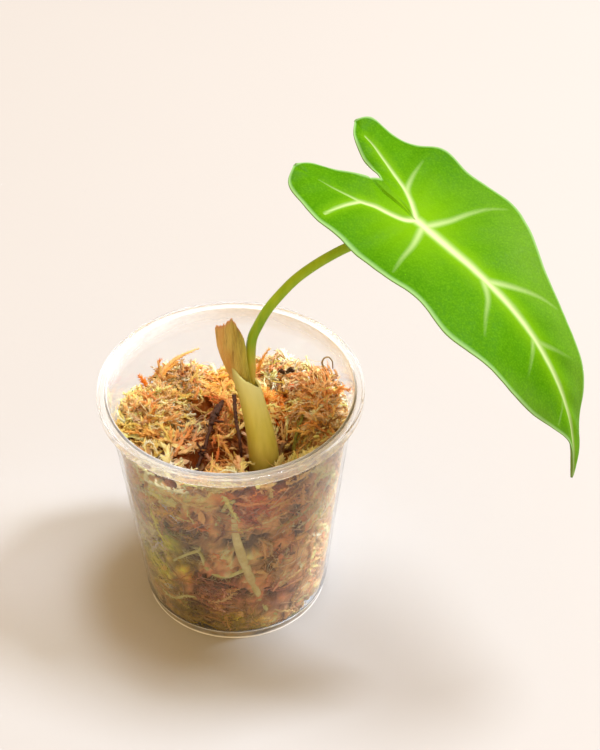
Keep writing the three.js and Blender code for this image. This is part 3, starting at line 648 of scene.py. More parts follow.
def velvet_leaf(look):
    """Velvet green with pale glowing veins and a lighter underside, with painted highlight, sheen and
    shade near the margin.
    """
    sheen = {"Sheen_Weight": 0.03, "Sheen_Roughness": 0.3, "Sheen_Tint": screen(140, 220, 20)}
    made = Finish("velvet_leaf", Roughness=0.5, Specular_IOR_Level=0.03, **sheen)
    cloud = made.noise(38, 3)
    fine = made.noise(650, 3)
    # Painted shade: deeper green towards the margin and tip, broken by cloud noise
    outer = made.sum(made.attribute("outer"), made.between(cloud, 0.3, 0.7, -0.25, 0.25))
    green = made.mix(made.between(outer, 0.1, 0.9, 0, 0.6), solid(look.green), solid(look.painted_shade_green))
    # Painted sheen: cooler, greyer green near the right margin and towards the tip
    cool = made.sum(made.attribute("cool"), made.between(made.noise(60, 4), 0.3, 0.7, -0.2, 0.2))
    green = made.lay(green, cool, 0.1, 1.0, 0.9, (94, 136, 34))
    green = made.lay(green, fine, 0.3, 0.75, 0.3, (90, 140, 2))
    grain = made.noise(1700, 3, roughness=0.6)
    green = made.lay(green, grain, 0.42, 0.62, 0.2, (46, 92, 0))
    green = made.lay(green, grain, 0.5, 0.36, 0.2, (104, 160, 20))
    green = made.lay(green, made.attribute("halo"), 0.05, 0.9, 0.8, (116, 164, 5))
    vein = made.attribute("vein")
    top = made.mix(made.between(vein, 0.02, 0.95), green, solid(look.vein))
    # Painted highlight along the margin
    top = made.lay(top, made.attribute("rim"), 0.2, 0.9, 0.85, (140, 176, 108))
    below = made.mix(made.between(vein, 0.2, 0.8), screen(112, 148, 50), screen(150, 170, 96))
    colour = made.mix(made.attribute("under"), top, below)
    made.feed("Base Color", colour)
    made.dull(fine, 0.42, 0.62)
    nap = made.sum(made.noise(1500, 2), made.between(made.noise(420, 2), 0.3, 0.7, 0, 1.2))
    made.bump(nap, 0.35, 0.00008)
    made.through(look.glow, made.mix(0.4, colour, screen(130, 200, 4)))
    return made.material


def stalk_skin(look):
    """Smooth olive-green skin, olive-tan at its foot and yellower near the leaf, with paler streaks."""
    made = Finish("stalk_skin", Specular_IOR_Level=0.25)
    streak = made.noise(500, 4, (1, 1, 0.12))
    share = made.attribute("share")
    dry = made.mix(made.between(share, 0.12, 0.22), screen(196, 176, 66), screen(110, 160, 12))
    low = made.mix(made.between(share, 0.25, 0.42), dry, solid(look.stalk))
    colour = made.mix(made.between(share, 0.75, 1), low, screen(156, 176, 24))
    colour = made.lay(colour, streak, 0.35, 0.7, 0.5, (176, 200, 44))
    made.feed("Base Color", colour)
    made.dull(streak, 0.3, 0.45)
    made.bump(streak, 0.25, 0.00012)
    return made.material


def stem_skin(look):
    """Pale yellow-green flesh with fine lengthwise fibres, a paler lip that is partly a painted highlight,
    and painted shade on its left and low down.
    """
    made = Finish("stem_skin", Specular_IOR_Level=0.5, Sheen_Weight=0.05)
    streak = made.noise(420, 5, (1, 1, 0.1))
    cloud = made.noise(70, 3)
    colour = made.mix(made.between(cloud, 0.35, 0.7), solid(look.stem), screen(236, 230, 130))
    colour = made.lay(colour, streak, 0.45, 0.75, 0.45, (190, 190, 62))
    # The paler lip: its own paler tissue, with a painted highlight on it
    colour = made.lay(colour, made.attribute("lip"), 0.1, 1, 0.85, (240, 240, 170))
    # Painted shade: darker on the left and low down
    colour = made.mix(made.attribute("shade"), colour, screen(160, 140, 22))
    made.feed("Base Color", colour)
    made.dull(streak, 0.28, 0.42)
    made.bump(streak, 0.3, 0.00015)
    made.through(0.15, screen(220, 222, 110))
    return made.material


def dry_sheath(look):
    """Papery dried sheath: tan with brown streaks on one side, still green on the other."""
    made = Finish("dry_sheath", Specular_IOR_Level=0.35)
    streak = made.noise(620, 6, (1, 1, 0.07), 0.7)
    blotch = made.noise(240, 4, (1, 1, 0.4))
    dry = made.mix(made.between(blotch, 0.35, 0.7), solid(look.sheath), screen(238, 204, 130))
    fresh = made.mix(made.between(blotch, 0.35, 0.7), screen(152, 160, 44), screen(206, 192, 84))
    side = made.sum(made.attribute("side"), made.between(blotch, 0.3, 0.7, -0.15, 0.15))
    colour = made.mix(made.between(side, 0.35, 1.0), dry, fresh)
    colour = made.lay(colour, streak, 0.5, 0.72, 0.75, (104, 72, 38))
    colour = made.lay(colour, made.attribute("torn"), 0.2, 1, 0.75, (214, 150, 118))
    made.feed("Base Color", colour)
    made.dull(streak, 0.5, 0.75)
    made.bump(streak, 0.6, 0.00035)
    made.through(0.12, screen(220, 180, 110))
    return made.material


def root_skin():
    """Moist pale root, slightly green towards its thin ends."""
    made = Finish("root_skin", Specular_IOR_Level=0.5, Roughness=0.35)
    cloud = made.noise(260, 5, (1, 1, 0.6), 0.65)
    colour = made.mix(made.between(cloud, 0.35, 0.6), screen(222, 204, 122), screen(250, 242, 176))
    colour = made.lay(colour, made.noise(90, 3), 0.5, 0.75, 0.5, (196, 160, 108))
    colour = made.lay(colour, made.attribute("thin"), 0.1, 0.9, 0.85, (190, 196, 92))
    made.feed("Base Color", colour)
    made.dull(cloud, 0.3, 0.5)
    made.bump(made.noise(900, 3), 0.3, 0.0001)
    made.through(0.2, screen(226, 216, 150))
    return made.material


def bark(name, dark, light, wear):
    """A dry twig's rough skin in two tones, or a green sprig's."""
    made = Finish(name, Specular_IOR_Level=0.3)
    grain = made.noise(900, 6, (1, 1, 0.25), 0.7)
    colour = made.mix(made.between(grain, 0.35, 0.7), dark, light)
    made.feed("Base Color", colour)
    made.dull(grain, 0.55, 0.85)
    made.bump(grain, wear, 0.0003)
    return made.material


def moss_fibre(name, look):
    """Damp moss: each fibre has its own colour, mottled along it, with painted light and shade in its tint
    and fine painted highlights, and glows a little in the light.
    """
    made = Finish(name, Specular_IOR_Level=0.14)
    # The tint holds painted light and shade from where each fibre lies, over its own colour
    tint = made.attribute("tint", "Color")
    mottle = made.noise(520, 5)
    colour = made.mix(made.between(mottle, 0.4, 0.75, 0.0, 0.16), tint, screen(200, 140, 90), "MULTIPLY")
    # Painted highlight: fine pale specks
    colour = made.lay(colour, made.noise(1700, 2), 0.5, 0.75, 0.2, (255, 222, 160))
    made.feed("Base Color", colour)
    made.dull(mottle, 0.42, 0.72)
    made.bump(made.noise(1400, 3), 0.4, 0.0002)
    made.through(look.glow, made.mix(0.35, tint, screen(255, 208, 120)))
    return made.material


# Cup
def rounded(outline):
    """An outline whose corners (r, z, radius) are rounded by arcs."""
    points = []
    for i, (r, z, fillet) in enumerate(outline):
        here = np.array([r, z], float)
        if not fillet:
            points.append(here)
            continue
        before = unit(np.array(outline[i - 1][:2], float) - here)
        after = unit(np.array(outline[i + 1][:2], float) - here)
        for t in np.linspace(0, 1, 7):
            points.append(here + fillet * ((1 - t) ** 2 * before + t**2 * after))
    return points


def edge_highlight(r, z):
    """How much painted highlight whitens the plastic at r and z, near an edge of the cup."""
    shares = [
        strength * exp(-((hypot(r - edge_r, z - edge_z) / reach) ** 2))
        for edge_r, edge_z, reach, strength in CUP_HIGHLIGHTS
    ]
    return max(shares)


def foot_moss_view(r, z):
    """How much the outside of the foot is painted with the view of the moss behind it at r and z."""
    outside = r > inside_r(z) + 0.2
    return float(along(FOOT_BAND, z)) if outside else 0.0


def cup_heap():
    """The cup: foot, wall with its faint ledge, flat flange and the flange's turned-down lip."""
    top = CUP_HEIGHT
    outline = [
        (0, 0.0, 0),
        (FOOT_R - 4.5, 0.0, 0),
        (FOOT_R + 0.5, 0.0, 0.4),
        (FOOT_R + 0.62, 0.8, 0.3),
        (FOOT_R + 0.3, 1.15, 0.2),
        (wall_r(3.3), 3.3, 0.9),
        (wall_r(5.5), 5.5, 0),
        (wall_r(LEDGE_Z - 1.6), LEDGE_Z - 1.6, 0.8),
        (wall_r(LEDGE_Z + 1.6), LEDGE_Z + 1.6, 0.8),
        (wall_r(top - WALL) - 0.02, top - WALL, 0.7),
        (RIM_R - WALL, top - WALL, 0.5),
        (RIM_R - WALL, top - LIP_DROP, 0.2),
        (RIM_R, top - LIP_DROP, 0.2),
        (RIM_R, top, 0.6),
        (inside_r(top), top, 0.55),
        (inside_r(LEDGE_Z + 1.6), LEDGE_Z + 1.6, 0.8),
        (inside_r(LEDGE_Z - 1.6), LEDGE_Z - 1.6, 0.8),
        (inside_r(4.2), 4.2, 0.6),
        (30.6, 1.6, 1.2),
        (28.4, FLOOR, 0.6),
        (0, FLOOR, 0),
    ]
    fine = []
    corners = rounded(outline)
    for a, b in zip(corners, corners[1:]):
        near_foot = max(a[1], b[1]) < 6 and min(a[0], b[0]) > 31
        steps = max(1, int(np.linalg.norm(b - a) / (FOOT_STEP if near_foot else WALL_STEP)))
        fine += [a + (b - a) * k / steps for k in range(steps)]
    fine.append(corners[-1])
    # Painted highlight at the cup's edges
    highlight_share = [edge_highlight(r, z) for r, z in fine[1:-1]]
    # Painted view of the moss through the foot
    moss_view_share = [foot_moss_view(r, z) for r, z in fine[1:-1]]
    points, faces = lathe(fine, CUP_SIDES)
    edge, foot = (np.concatenate([np.repeat(share, CUP_SIDES), [0, 0]]) for share in (highlight_share, moss_view_share))
    return Heap().add(points, faces, edge=edge, foot=foot)


# Leaf
def midrib(u):
    """Points of the midrib at distances u from the joint, and its fall there."""
    u = np.asarray(u, float)
    fine = np.linspace(0, MIDRIB, 20 * MIDRIB + 1)
    fall = np.radians(along(PITCH, fine))
    step = fine[1]
    mean = (fall[1:] + fall[:-1]) / 2
    ahead = np.concatenate([[0], np.cumsum(np.cos(mean)) * step])
    down = np.concatenate([[0], np.cumsum(np.sin(mean)) * step])
    back = np.minimum(u, 0)
    out = np.interp(u, fine, ahead) + back * cos(fall[0])
    drop = np.interp(u, fine, down) + back * sin(fall[0])
    way = np.stack([out * cos(HEADING), out * sin(HEADING), -drop], axis=-1)
    return JOINT + way, np.interp(u, fine, fall)


def leaf_axes(fall):
    """The directions across and above the blade."""
    forward = np.array([cos(HEADING), sin(HEADING), 0])
    sideways = np.array([-forward[1], forward[0], 0])
    above = forward * np.sin(fall)[:, None] + np.array([0, 0, 1]) * np.cos(fall)[:, None]
    side = sideways * cos(ROLL) + above * sin(ROLL)
    return side, above * cos(ROLL) - sideways * sin(ROLL)


def distance_to_line(uv, line):
    """How far uv points lie from a polyline, and the share along it of the nearest place."""
    best = np.full(len(uv), 1e9)
    share = np.zeros(len(uv))
    ends = np.asarray(line, float)
    lengths = np.linalg.norm(np.diff(ends, axis=0), axis=1)
    start = np.concatenate([[0], np.cumsum(lengths)])
    for i, length in enumerate(lengths):
        a, b = ends[i], ends[i + 1]
        t = np.clip(((uv - a) @ (b - a)) / length**2, 0, 1)
        d = np.linalg.norm(uv - (a + t[:, None] * (b - a)), axis=1)
        closer = d < best
        best[closer] = d[closer]
        share[closer] = (start[i] + t * length)[closer] / start[-1]
    return best, share


def vein_fields(uv):
    """How much each point is vein, and how much it lies in a vein's pale surroundings."""
    vein = np.zeros(len(uv))
    halo = np.zeros(len(uv))
    for line, width, light in VEINS:
        gap, share = distance_to_line(uv, smooth(line, np.linspace(0, 1, 40)))
        wide = width[0] + (width[1] - width[0]) * share
        bright = light[0] + (light[1] - light[0]) * share
        vein = np.maximum(vein, bright * np.exp(-((gap / wide) ** 2)))
        halo = np.maximum(halo, bright * np.exp(-((gap / (3.0 * wide + 1.0)) ** 1.5)))
    glow, reach = JOINT_GLOW
    joint = glow * np.exp(-((np.hypot(uv[:, 0], uv[:, 1]) / reach) ** 2))
    return vein, np.maximum(halo, joint)


def leaf_grid():
    """The blade's middle surface: points in u and v, faces, and for each point its rib, its share
    of the way out and its distance to the margin. Points that fall together are joined."""
    uv, rib, share, edge, faces = [], [], [], [], []
    across = np.concatenate([np.linspace(0, 0.94, LEAF_COLUMNS - 3), [0.965, 0.985, 1.0]])
    for ribs, inner, sign in ((RIGHT_RIBS, RIGHT_INNER, 1), (LEFT_RIBS, LEFT_INNER, -1)):
        last = len(ribs) - 1
        notched = len(inner) - 1
        s = np.linspace(0, last, last * LEAF_ROWS + 1)
        table = np.array(ribs, float)
        margin = smooth(table[:, 2:4], s / last)
        back = smooth(table[: BACK_RIBS + 1, :2], s / BACK_RIBS)
        front = smooth(table[BACK_RIBS:, :2], (s - BACK_RIBS) / (last - BACK_RIBS))
        behind = s <= BACK_RIBS
        spine = np.where(behind[:, None], back, front)
        notch = smooth(inner, s / notched) * (1 - np.clip(s - notched, 0, 1))[:, None]
        open_edge = np.clip(notched + 0.15 - s, 0, 0.15) / 0.15
        patches = [
            (s, spine, margin, np.ones(len(s)), sign > 0),
            (s[behind], spine[behind], notch[behind], open_edge[behind], sign < 0),
        ]
        for places, near, far, bare, upright in patches:
            base = sum(len(x) for x in uv)
            width = np.linalg.norm(far - near, axis=1)
            out = across[None, :, None]
            uv.append((near[:, None] * (1 - out) + far[:, None] * out).reshape(-1, 2))
            rib.append(np.repeat(places, LEAF_COLUMNS))
            share.append(np.tile(across, len(places)))
            gap = (1 - across)[None, :] * width[:, None] + (1 - bare)[:, None] * FAR_IN
            edge.append(gap.ravel())
            quads = grid_faces(len(places), LEAF_COLUMNS, False) + base
            faces.append(quads if upright else quads[:, ::-1])
    uv, rib, share, edge = (np.concatenate(x) for x in (uv, rib, share, edge))
    _, first, same = np.unique(np.round(uv, 2), axis=0, return_index=True, return_inverse=True)
    same = same.ravel()
    faces = same[halved(np.concatenate(faces))]
    a, b, c = faces.T
    whole = (a != b) & (b != c) & (c != a)
    nearest = np.full(len(first), 1e9)
    np.minimum.at(nearest, same, edge)
    return uv[first], faces[whole], rib[first], share[first], nearest


def leaf_lift(look, u, v, rib, share, vein):
    """How far the blade swells between its veins, waves at its margin and sinks at its veins."""
    phase = np.where(v >= 0, 0.4, 2.2)
    tip = np.minimum(1, (104 - u) / 25)
    swell = QUILT * np.sin(np.pi * rib) ** 2 * np.sin(np.pi * share)
    wave = EDGE_WAVE * share**2 * np.sin(1.9 * rib + phase)
    lift = (swell + wave) * tip + 0.0025 * v * v - 0.044 * np.abs(v)
    lift -= look.vein_depth / MM * np.clip(1.3 * vein, 0, 1)
    return lift + 0.12 * rough(np.column_stack([u, v, 0 * u]), 0.16)


def leaf_keel(uv, vein):
    """How far the midrib, the back veins and the side veins stand out below."""
    u, v = uv[:, 0], uv[:, 1]
    right, _ = distance_to_line(uv, [(-33, 14.2), (-8.3, 5.6), (0, 0)])
    left, _ = distance_to_line(uv, [(-31, -14.6), (-7.5, -5.4), (0, 0)])
    front = np.where(u > 0, np.abs(v - 0.01 * np.maximum(u, 0)), 1e9)
    gap = np.minimum(np.minimum(right, left), front)
    reach = np.clip(np.where(u < 0, u / -37, u / 100), 0, 1)
    keel = (KEEL + (KEEL_TIP - KEEL) * reach) * np.exp(-((gap / (1.5 - 0.7 * reach)) ** 2))
    return np.maximum(keel, 0.45 * vein)


def leaf_shades(u, v, rib, share, edge):
    """Where the blade has a painted highlight along its margin, painted shade towards its margin and tip,
    and painted sheen near its right margin and, towards the tip, its left one.
    """
    # Painted highlight along the margin, widest where the lower-left edge turns
    outside = np.where(u < -10, np.clip((-v - 14) / 4, 0, 1), 1.0) * np.clip(-v / 4, 0, 1)
    wide = 0.8 + 0.8 * outside * np.clip((rib - 1) / 3, 0, 1) * np.clip((12 - rib) / 4, 0, 1)
    pale = np.exp(-((edge / wide) ** 2))
    # Painted shade: deeper green towards the margin and tip
    outer = np.clip(share**1.4 * (0.75 + 0.004 * u), 0, 1)
    # Painted sheen near the right margin and, towards the tip, near the left one
    right = np.clip(u / 40 + 0.4, 0, 1) * np.clip(1.5 * share - 0.25, 0, 1)
    left = np.clip((u - 38) / 25, 0, 1) * np.clip(1.8 * share - 0.8, 0, 1)
    return pale, outer, np.where(v >= 0, right, 0.8 * left)


def closed_sheet(faces, count):
    """Faces of both sides of a sheet, with count points each, and of the strip at its margin."""
    edges = np.concatenate([faces[:, [0, 1]], faces[:, [1, 2]], faces[:, [2, 0]]])
    there = {(a, b) for a, b in edges.tolist()}
    rim = np.array([(a, b) for a, b in there if (b, a) not in there])
    strip = [
        np.stack([rim[:, 1], rim[:, 0], count + rim[:, 0]], axis=1),
        np.stack([rim[:, 1], count + rim[:, 0], count + rim[:, 1]], axis=1),
    ]
    return np.concatenate([faces, faces[:, ::-1] + count, *strip])[:, ::-1]


def leaf_heap(look):
    """The blade with sunken veins, swells between them, a waved margin and a keel below."""
    uv, faces, rib, share, edge = leaf_grid()
    u, v = uv[:, 0], uv[:, 1]
    vein, halo = vein_fields(uv)
    lift = leaf_lift(look, u, v, rib, share, vein)
    middle, fall = midrib(u)
    side, above = leaf_axes(fall)
    points = middle + side * v[:, None] + above * lift[:, None]
    half = (look.thickness / MM) * (0.5 - 0.22 * np.exp(-edge / 0.8))
    top = points + above * half[:, None]
    bottom = points - above * (half + leaf_keel(uv, vein))[:, None]
    pale, outer, cool = leaf_shades(u, v, rib, share, edge)
    count = len(points)
    return Heap().add(
        np.vstack([top, bottom]),
        closed_sheet(faces, count),
        vein=np.tile(vein, 2),
        halo=np.tile(halo, 2),
        rim=np.concatenate([pale, pale * 0.6]),
        outer=np.tile(outer, 2),
        cool=np.tile(cool, 2),
        under=np.concatenate([np.zeros(count), np.ones(count)]),
    )


# Stalks
def petiole_heap():
    """The thin stalk from the sheath to the leaf's joint, faintly ridged."""
    rows = 130
    path = evenly(STALK_PATH, rows)
    radius = np.linspace(*STALK_R, rows)
    points, faces, share, _ = tube(path, radius, 28, ridge=lambda a, s: 1 + 0.012 * np.cos(9 * a + 6 * s))
    return Heap().add(points, faces, share=share)


def lip_height(points):
    """How far points lie above the slanting plane of the sheath's lip."""
    turn_x, turn_y = LIP_TURN
    level = cos(turn_x)
    normal = np.array([level * sin(turn_y), -sin(turn_x), level * cos(turn_y)])
    return (points - LIP_POINT) @ normal


def stem_ridge(angle, share):
    """The faint ribs along the swollen base."""
    return 1 + 0.008 * np.cos(13 * angle) + 0.01 * np.cos(3 * angle + 5 * share)


def stem_heap():
    """The swollen stalk base: a tube that opens at a slanting lip and has a hollow behind it."""
    rows, sides, levels, inner_rows = 150, 56, 90, 24
    near_lip, hollow_rows = 36, 34
    path = evenly(STEM_PATH, rows)
    radius = along(STEM_R, np.linspace(0, 1, rows))
    points, _, _, turn = tube(path, radius, sides, ridge=stem_ridge)
    shell = points[: rows * sides].reshape(rows, sides, 3)
    lip_row = np.argmax(lip_height(shell) > 0, axis=0).astype(float)
    lip_row[lip_row == 0] = rows - 1
    wobble = 1.2 * np.sin(3 * turn[:sides] + 0.6)
    lip_row = np.clip(lip_row + wobble, 40, rows - 1)
    at = np.linspace(0, 1, levels)[:, None] * lip_row[None, :]
    outer = np.zeros((levels, sides, 3))
    for j in range(sides):
        for k in range(3):
            outer[:, j, k] = np.interp(at[:, j], np.arange(rows), shell[:, j, k])
    centre = np.stack([np.interp(at, np.arange(rows), path[:, k]) for k in range(3)], axis=-1)
    inward = unit(centre - outer)
    up = unit(outer[-1] - outer[-2])
    rolled = [outer[-1] + inward[-1] * turn_in + up * rise for turn_in, rise in LIP_ROLL]
    inner = []
    for t in np.linspace(0, 1, inner_rows):
        row = levels - 1 - int(t * hollow_rows)
        inner.append(outer[row] + inward[row] * (0.85 + 0.5 * t))
    sheet = np.concatenate([outer, np.array(rolled), np.array(inner)])
    ends = np.vstack([sheet[0].mean(0), sheet[-1].mean(0)])
    points = np.concatenate([sheet.reshape(-1, 3), ends])
    # The paler lip: its own paler tissue, with a painted highlight on it
    low, rising = np.zeros(levels - near_lip), np.linspace(0, 1, near_lip) ** 2
    lip = np.concatenate([low, rising, np.ones(len(rolled)), np.linspace(1, 0.2, inner_rows)])
    lip = np.concatenate([np.repeat(lip, sides), [0, 0.2]])
    # Painted shade: darker on the left side, away from the lamps, and low down near the moss
    axis_x = np.interp(points[:, 2], [p[2] for p in STEM_PATH], [p[0] for p in STEM_PATH])
    leftward = np.clip((axis_x - points[:, 0]) / 5 - 0.15, 0, 0.7)
    shade = np.maximum(np.clip((80 - points[:, 2]) / 13, 0, 1) * 0.7, leftward)
    return Heap().add(points, capped_faces(len(sheet), sides)[:, ::-1], lip=lip, shade=shade)


def stub_point(angle, z, grow):
    """Points of the old stub's curled sheet."""
    table = np.array(STUB_LEVELS, float)
    x, half, y, out = (np.interp(z, table[:, 0], table[:, k]) for k in range(1, 5))
    a = np.radians(angle)
    return np.stack([x + (half + grow) * np.sin(a), y - (out + grow) * np.cos(a), z], axis=-1)


def stub_heap():
    """The dried stub: a curled sheet with lengthwise fibres and a ragged torn top."""
    rng = np.random.default_rng(7)
    columns, rows = 110, 70
    start, end = -95, 50
    angle = np.linspace(start, end, columns)
    tears = rng.normal(0, 0.14, columns) + 0.3 * np.sin(np.radians(angle) * 23)
    edge = along(STUB_EDGE, angle) + np.clip(tears, -0.45, 0.45)
    bottom = STUB_LEVELS[0][0]
    share = np.linspace(0, 1, rows)[:, None]
    z = bottom + (edge[None, :] - bottom) * share
    a = np.repeat(angle[None, :], rows, axis=0)
    fibre = 0.10 * np.sin(a * 0.9 + 2 * np.sin(z * 0.25)) + 0.18 * np.cos(a * 0.31) * share
    flare = 0.12 * np.sin(a * 0.5) * share**6
    thickness = 0.9 - 0.55 * share**3
    outer = stub_point(a, z, fibre + flare)
    inner = stub_point(a, z, fibre + flare - thickness)
    n = rows * columns
    quads = grid_faces(rows, columns, False)
    left = np.arange(rows - 1) * columns
    right = left + columns - 1
    low = np.arange(columns - 1)
    high = (rows - 1) * columns + low
    faces = [
        quads,
        quads[:, ::-1] + n,
        np.stack([left + columns + n, left + columns, left, left + n], axis=1),
        np.stack([right + columns, right + columns + n, right + n, right], axis=1),
        np.stack([low, low + n, low + 1 + n, low + 1], axis=1),
        np.stack([high, high + 1, high + 1 + n, high + n], axis=1),
    ]
    side = (a - start) / (end - start)
    torn = np.clip((share - 0.93) / 0.07, 0, 1) + 0 * a
    return Heap().add(
        np.concatenate([outer, inner]),
        np.concatenate(faces),
        side=np.tile(side.ravel(), 2),
        torn=np.tile(torn.ravel(), 2),
    )


# Roots and twigs
def outwards(p):
    """The level direction from the cup's axis to a point."""
    return unit(np.array([p[0], p[1], 0.0]))


def roots_heap():
    """The pale root against the wall with its side roots and fine root hairs."""
    heap = Heap()
    rows, count = 90, 110
    for path, radius in ROOTS:
        corners = [on_wall(a, z, 1.5) for a, z in path]
        line = press_in(evenly(corners, rows), 1.5)
        swell = 1 + 0.07 * np.sin(np.linspace(0, 37, rows) + 2 * np.sin(np.linspace(0, 9, rows)))
        size = 0.78 * along(radius, np.linspace(0, 1, rows)) * swell
        points, faces, share, _ = tube(line, size, 16, 0.55, outwards)
        thin = np.clip(1.2 - along(radius, share) / 1.4, 0, 1)
        heap.add(press_in(points, 0.3), faces, thin=thin)
        hairs, rng = Heap(), np.random.default_rng(rows + len(path))
        spot = rng.integers(4, rows - 4, count)
        out = unit(line[spot] * np.array([1, 1, 0]))
        ahead = unit(line[spot + 3] - line[spot])
        side = np.cross(out, ahead) * rng.choice([-1, 1], (count, 1))
        way = unit(side + ahead * rng.normal(0.2, 0.5, (count, 1)))
        start = line[spot] + side * size[spot][:, None] * 0.8 + out * 0.3
        hair = wander(rng, start, way, out, rng.uniform(1.2, 4, count), 5, 1.2, 0.05, 0.08)
        width = rng.uniform(0.06, 0.1, count)
        add_fibres(hairs, rng, press_in(hair, 0.35), out, width, 1.0, np.ones((count, 3)), 3)
        heap.add(press_in(hairs.points[0], 0.3), hairs.faces[0], thin=0.2)
    return heap


def twig_heap(parts, seed, knots, scaly=()):
    """Twigs: each part is a path with its radii and flatness, made knobbly, and scaly paths bear
    small dry scales."""
    heap = Heap()
    rows, sides = 60, 12
    for index, (path, radius, flat) in enumerate(parts):
        line = evenly(path, rows)
        points, faces, _, _ = tube(line, along(radius, np.linspace(0, 1, rows)), sides, flat)
        centre = np.concatenate([np.repeat(line, sides, axis=0), line[[0, -1]]])
        swell = 0.8 + knots * 3 * rough(points + seed + index, 0.9)
        heap.add(centre + (points - centre) * swell[:, None], faces)
    for path, size in scaly:
        scales, rng = Heap(), np.random.default_rng(seed)
        line, up = evenly(path, 9)[None], np.array([[0, -0.7, 0.7]])
        size, length, tint = np.array([size]), np.array([2.1]), np.ones((1, 3))
        add_leaflets(scales, rng, line, up, size, 26, length, tint, lean=(0.4, 1.1))
        heap.add(scales.points[0], scales.faces[0])
    return heap


# Twigs: their line, the radius along it and how flat they are
TWIG_DARK = [
    (
        [(-12.6, -27, 66), (-11, -22, 73.5), (-8.6, -13, 76), (-6.4, -5, 79), (-3.4, 3.6, 80.5)],
        [(0, 0.95), (0.4, 0.7), (0.7, 0.85), (1, 0.7)],
        1.0,
    ),
    (
        [(-7.2, -7, 78.6), (-5.6, -2, 80.6), (-3, 4.4, 80.8)],
        [(0, 0.8), (0.4, 1.5), (0.7, 1.4), (1, 0.7)],
        0.75,
    ),
    ([(-6, -4, 79.6), (-4.4, -4, 79), (-2.8, -3.6, 78.4)], [(0, 0.7), (1, 0.4)], 1.0),
    ([(-9.2, -15, 75.8), (-10.6, -14.4, 77.4), (-11.4, -13.6, 78.2)], [(0, 0.55), (1, 0.3)], 1.0),
]
TWIG_STEM = [
    (
        [(3.6, -12.5, 68), (2.9, -9.5, 75.2), (1.7, -4, 78.6), (1.1, 0, 82), (0.9, 3.5, 84.2)],
        [(0, 0.5), (0.5, 0.75), (1, 0.9)],
        1.0,
    )
]
CURL = [
    (
        [
            (33.4, 14.6, 78), (32.4, 15, 82.6), (31.9, 15.4, 85.6), (30.8, 15.8, 87.6),
            (31.4, 16.4, 89.4), (33, 16.6, 89.8), (34.2, 16.2, 88.4), (34.5, 15.6, 85.6),
        ],
        [(0, 0.55), (0.6, 0.5), (1, 0.3)],
        0.8,
    )
]
SPRIG = [
    (
        [(20.8, -13, 70), (21.8, -9, 76.5), (23.8, -4, 80), (26.6, 3.2, 82.6)],
        [(0, 0.75), (0.6, 0.65), (1, 0.35)],
        0.8,
    ),
    ([(22.6, -7, 78), (22.4, -6.2, 79.6), (22.4, -5.6, 80.8)], [(0, 0.45), (1, 0.2)], 0.7),
    ([(24.6, -2, 80.8), (26, -3, 81.4), (26.8, -3.4, 82)], [(0, 0.45), (1, 0.2)], 0.7),
    ([(21.4, -10.6, 74.4), (22.6, -10.4, 76.4), (23.4, -9.6, 78)], [(0, 0.4), (1, 0.2)], 0.7),
]
# Where the dark twig bears dry scales, and how wide they stand
TWIG_SCALES = [
    ([(-7.6, -8, 78.2), (-5.6, -2, 80.2), (-3.2, 3.8, 80.8)], 1.5),
    ([(-10, -18, 75), (-8.8, -13, 76.2)], 0.8),
]


# Moss
def relief_map():
    """Heights of the moss's top on a 1 mm grid: clumps with clefts between them."""
    axis = np.arange(-RELIEF_HALF, RELIEF_HALF + 1, 1.0)
    x, y = np.meshgrid(axis, axis, indexing="ij")
    flat = np.stack([x.ravel(), y.ravel(), np.zeros(x.size)], axis=1)
    clumps = 3.4 * rough(flat + 11, 0.105, 4) + 1.0 * rough(flat + 37, 0.3, 3)
    cuts = 0.0
    for a, b, reach, depth in CLEFTS:
        cuts += depth * np.exp(-((x - a) ** 2 + (y - b) ** 2) / reach**2)
    return moss_top(x, y) + np.clip(clumps, -4.0, 3.0).reshape(x.shape) - cuts


RELIEF = relief_map()


def ground(x, y):
    """Height of the moss's top with its clumps and clefts."""
    u = np.clip(np.asarray(x, float) + RELIEF_HALF, 0, 2 * RELIEF_HALF - 0.01)
    v = np.clip(np.asarray(y, float) + RELIEF_HALF, 0, 2 * RELIEF_HALF - 0.01)
    i, j = u.astype(int), v.astype(int)
    s, t = u - i, v - j
    low = RELIEF[i, j] * (1 - s) + RELIEF[i + 1, j] * s
    high = RELIEF[i, j + 1] * (1 - s) + RELIEF[i + 1, j + 1] * s
    return low * (1 - t) + high * t


def fibre_tints(rng, names, points, patches, loose=0.35, spread=0.2):
    """A colour for each fibre, mixed from the patches that it lies in and one family of its own."""
    palette = list(FIBRES)
    weights = np.zeros((len(points), len(palette)))
    for name, weight in names.items():
        weights[:, palette.index(name)] += weight
    for x, y, reach, name, weight in patches:
        far = (points[:, 0] - x) ** 2 + (points[:, 1] - y) ** 2
        weights[:, palette.index(name)] += PATCH_PULL * weight * np.exp(-far / reach**2)
    weights /= weights.sum(1)[:, None]
    colours = np.array([fibre_colour(name) for name in palette])
    passed = rng.random((len(points), 1)) > np.cumsum(weights, axis=1)
    pick = np.minimum(passed.sum(1), len(palette) - 1)
    strong = weights**1.6
    mixed = (strong / strong.sum(1)[:, None]) @ colours
    tone = np.exp(rng.normal(0, spread, (len(points), 1)))
    return np.clip((mixed * (1 - loose) + colours[pick] * loose) * tone, DARKEST, 0.97)


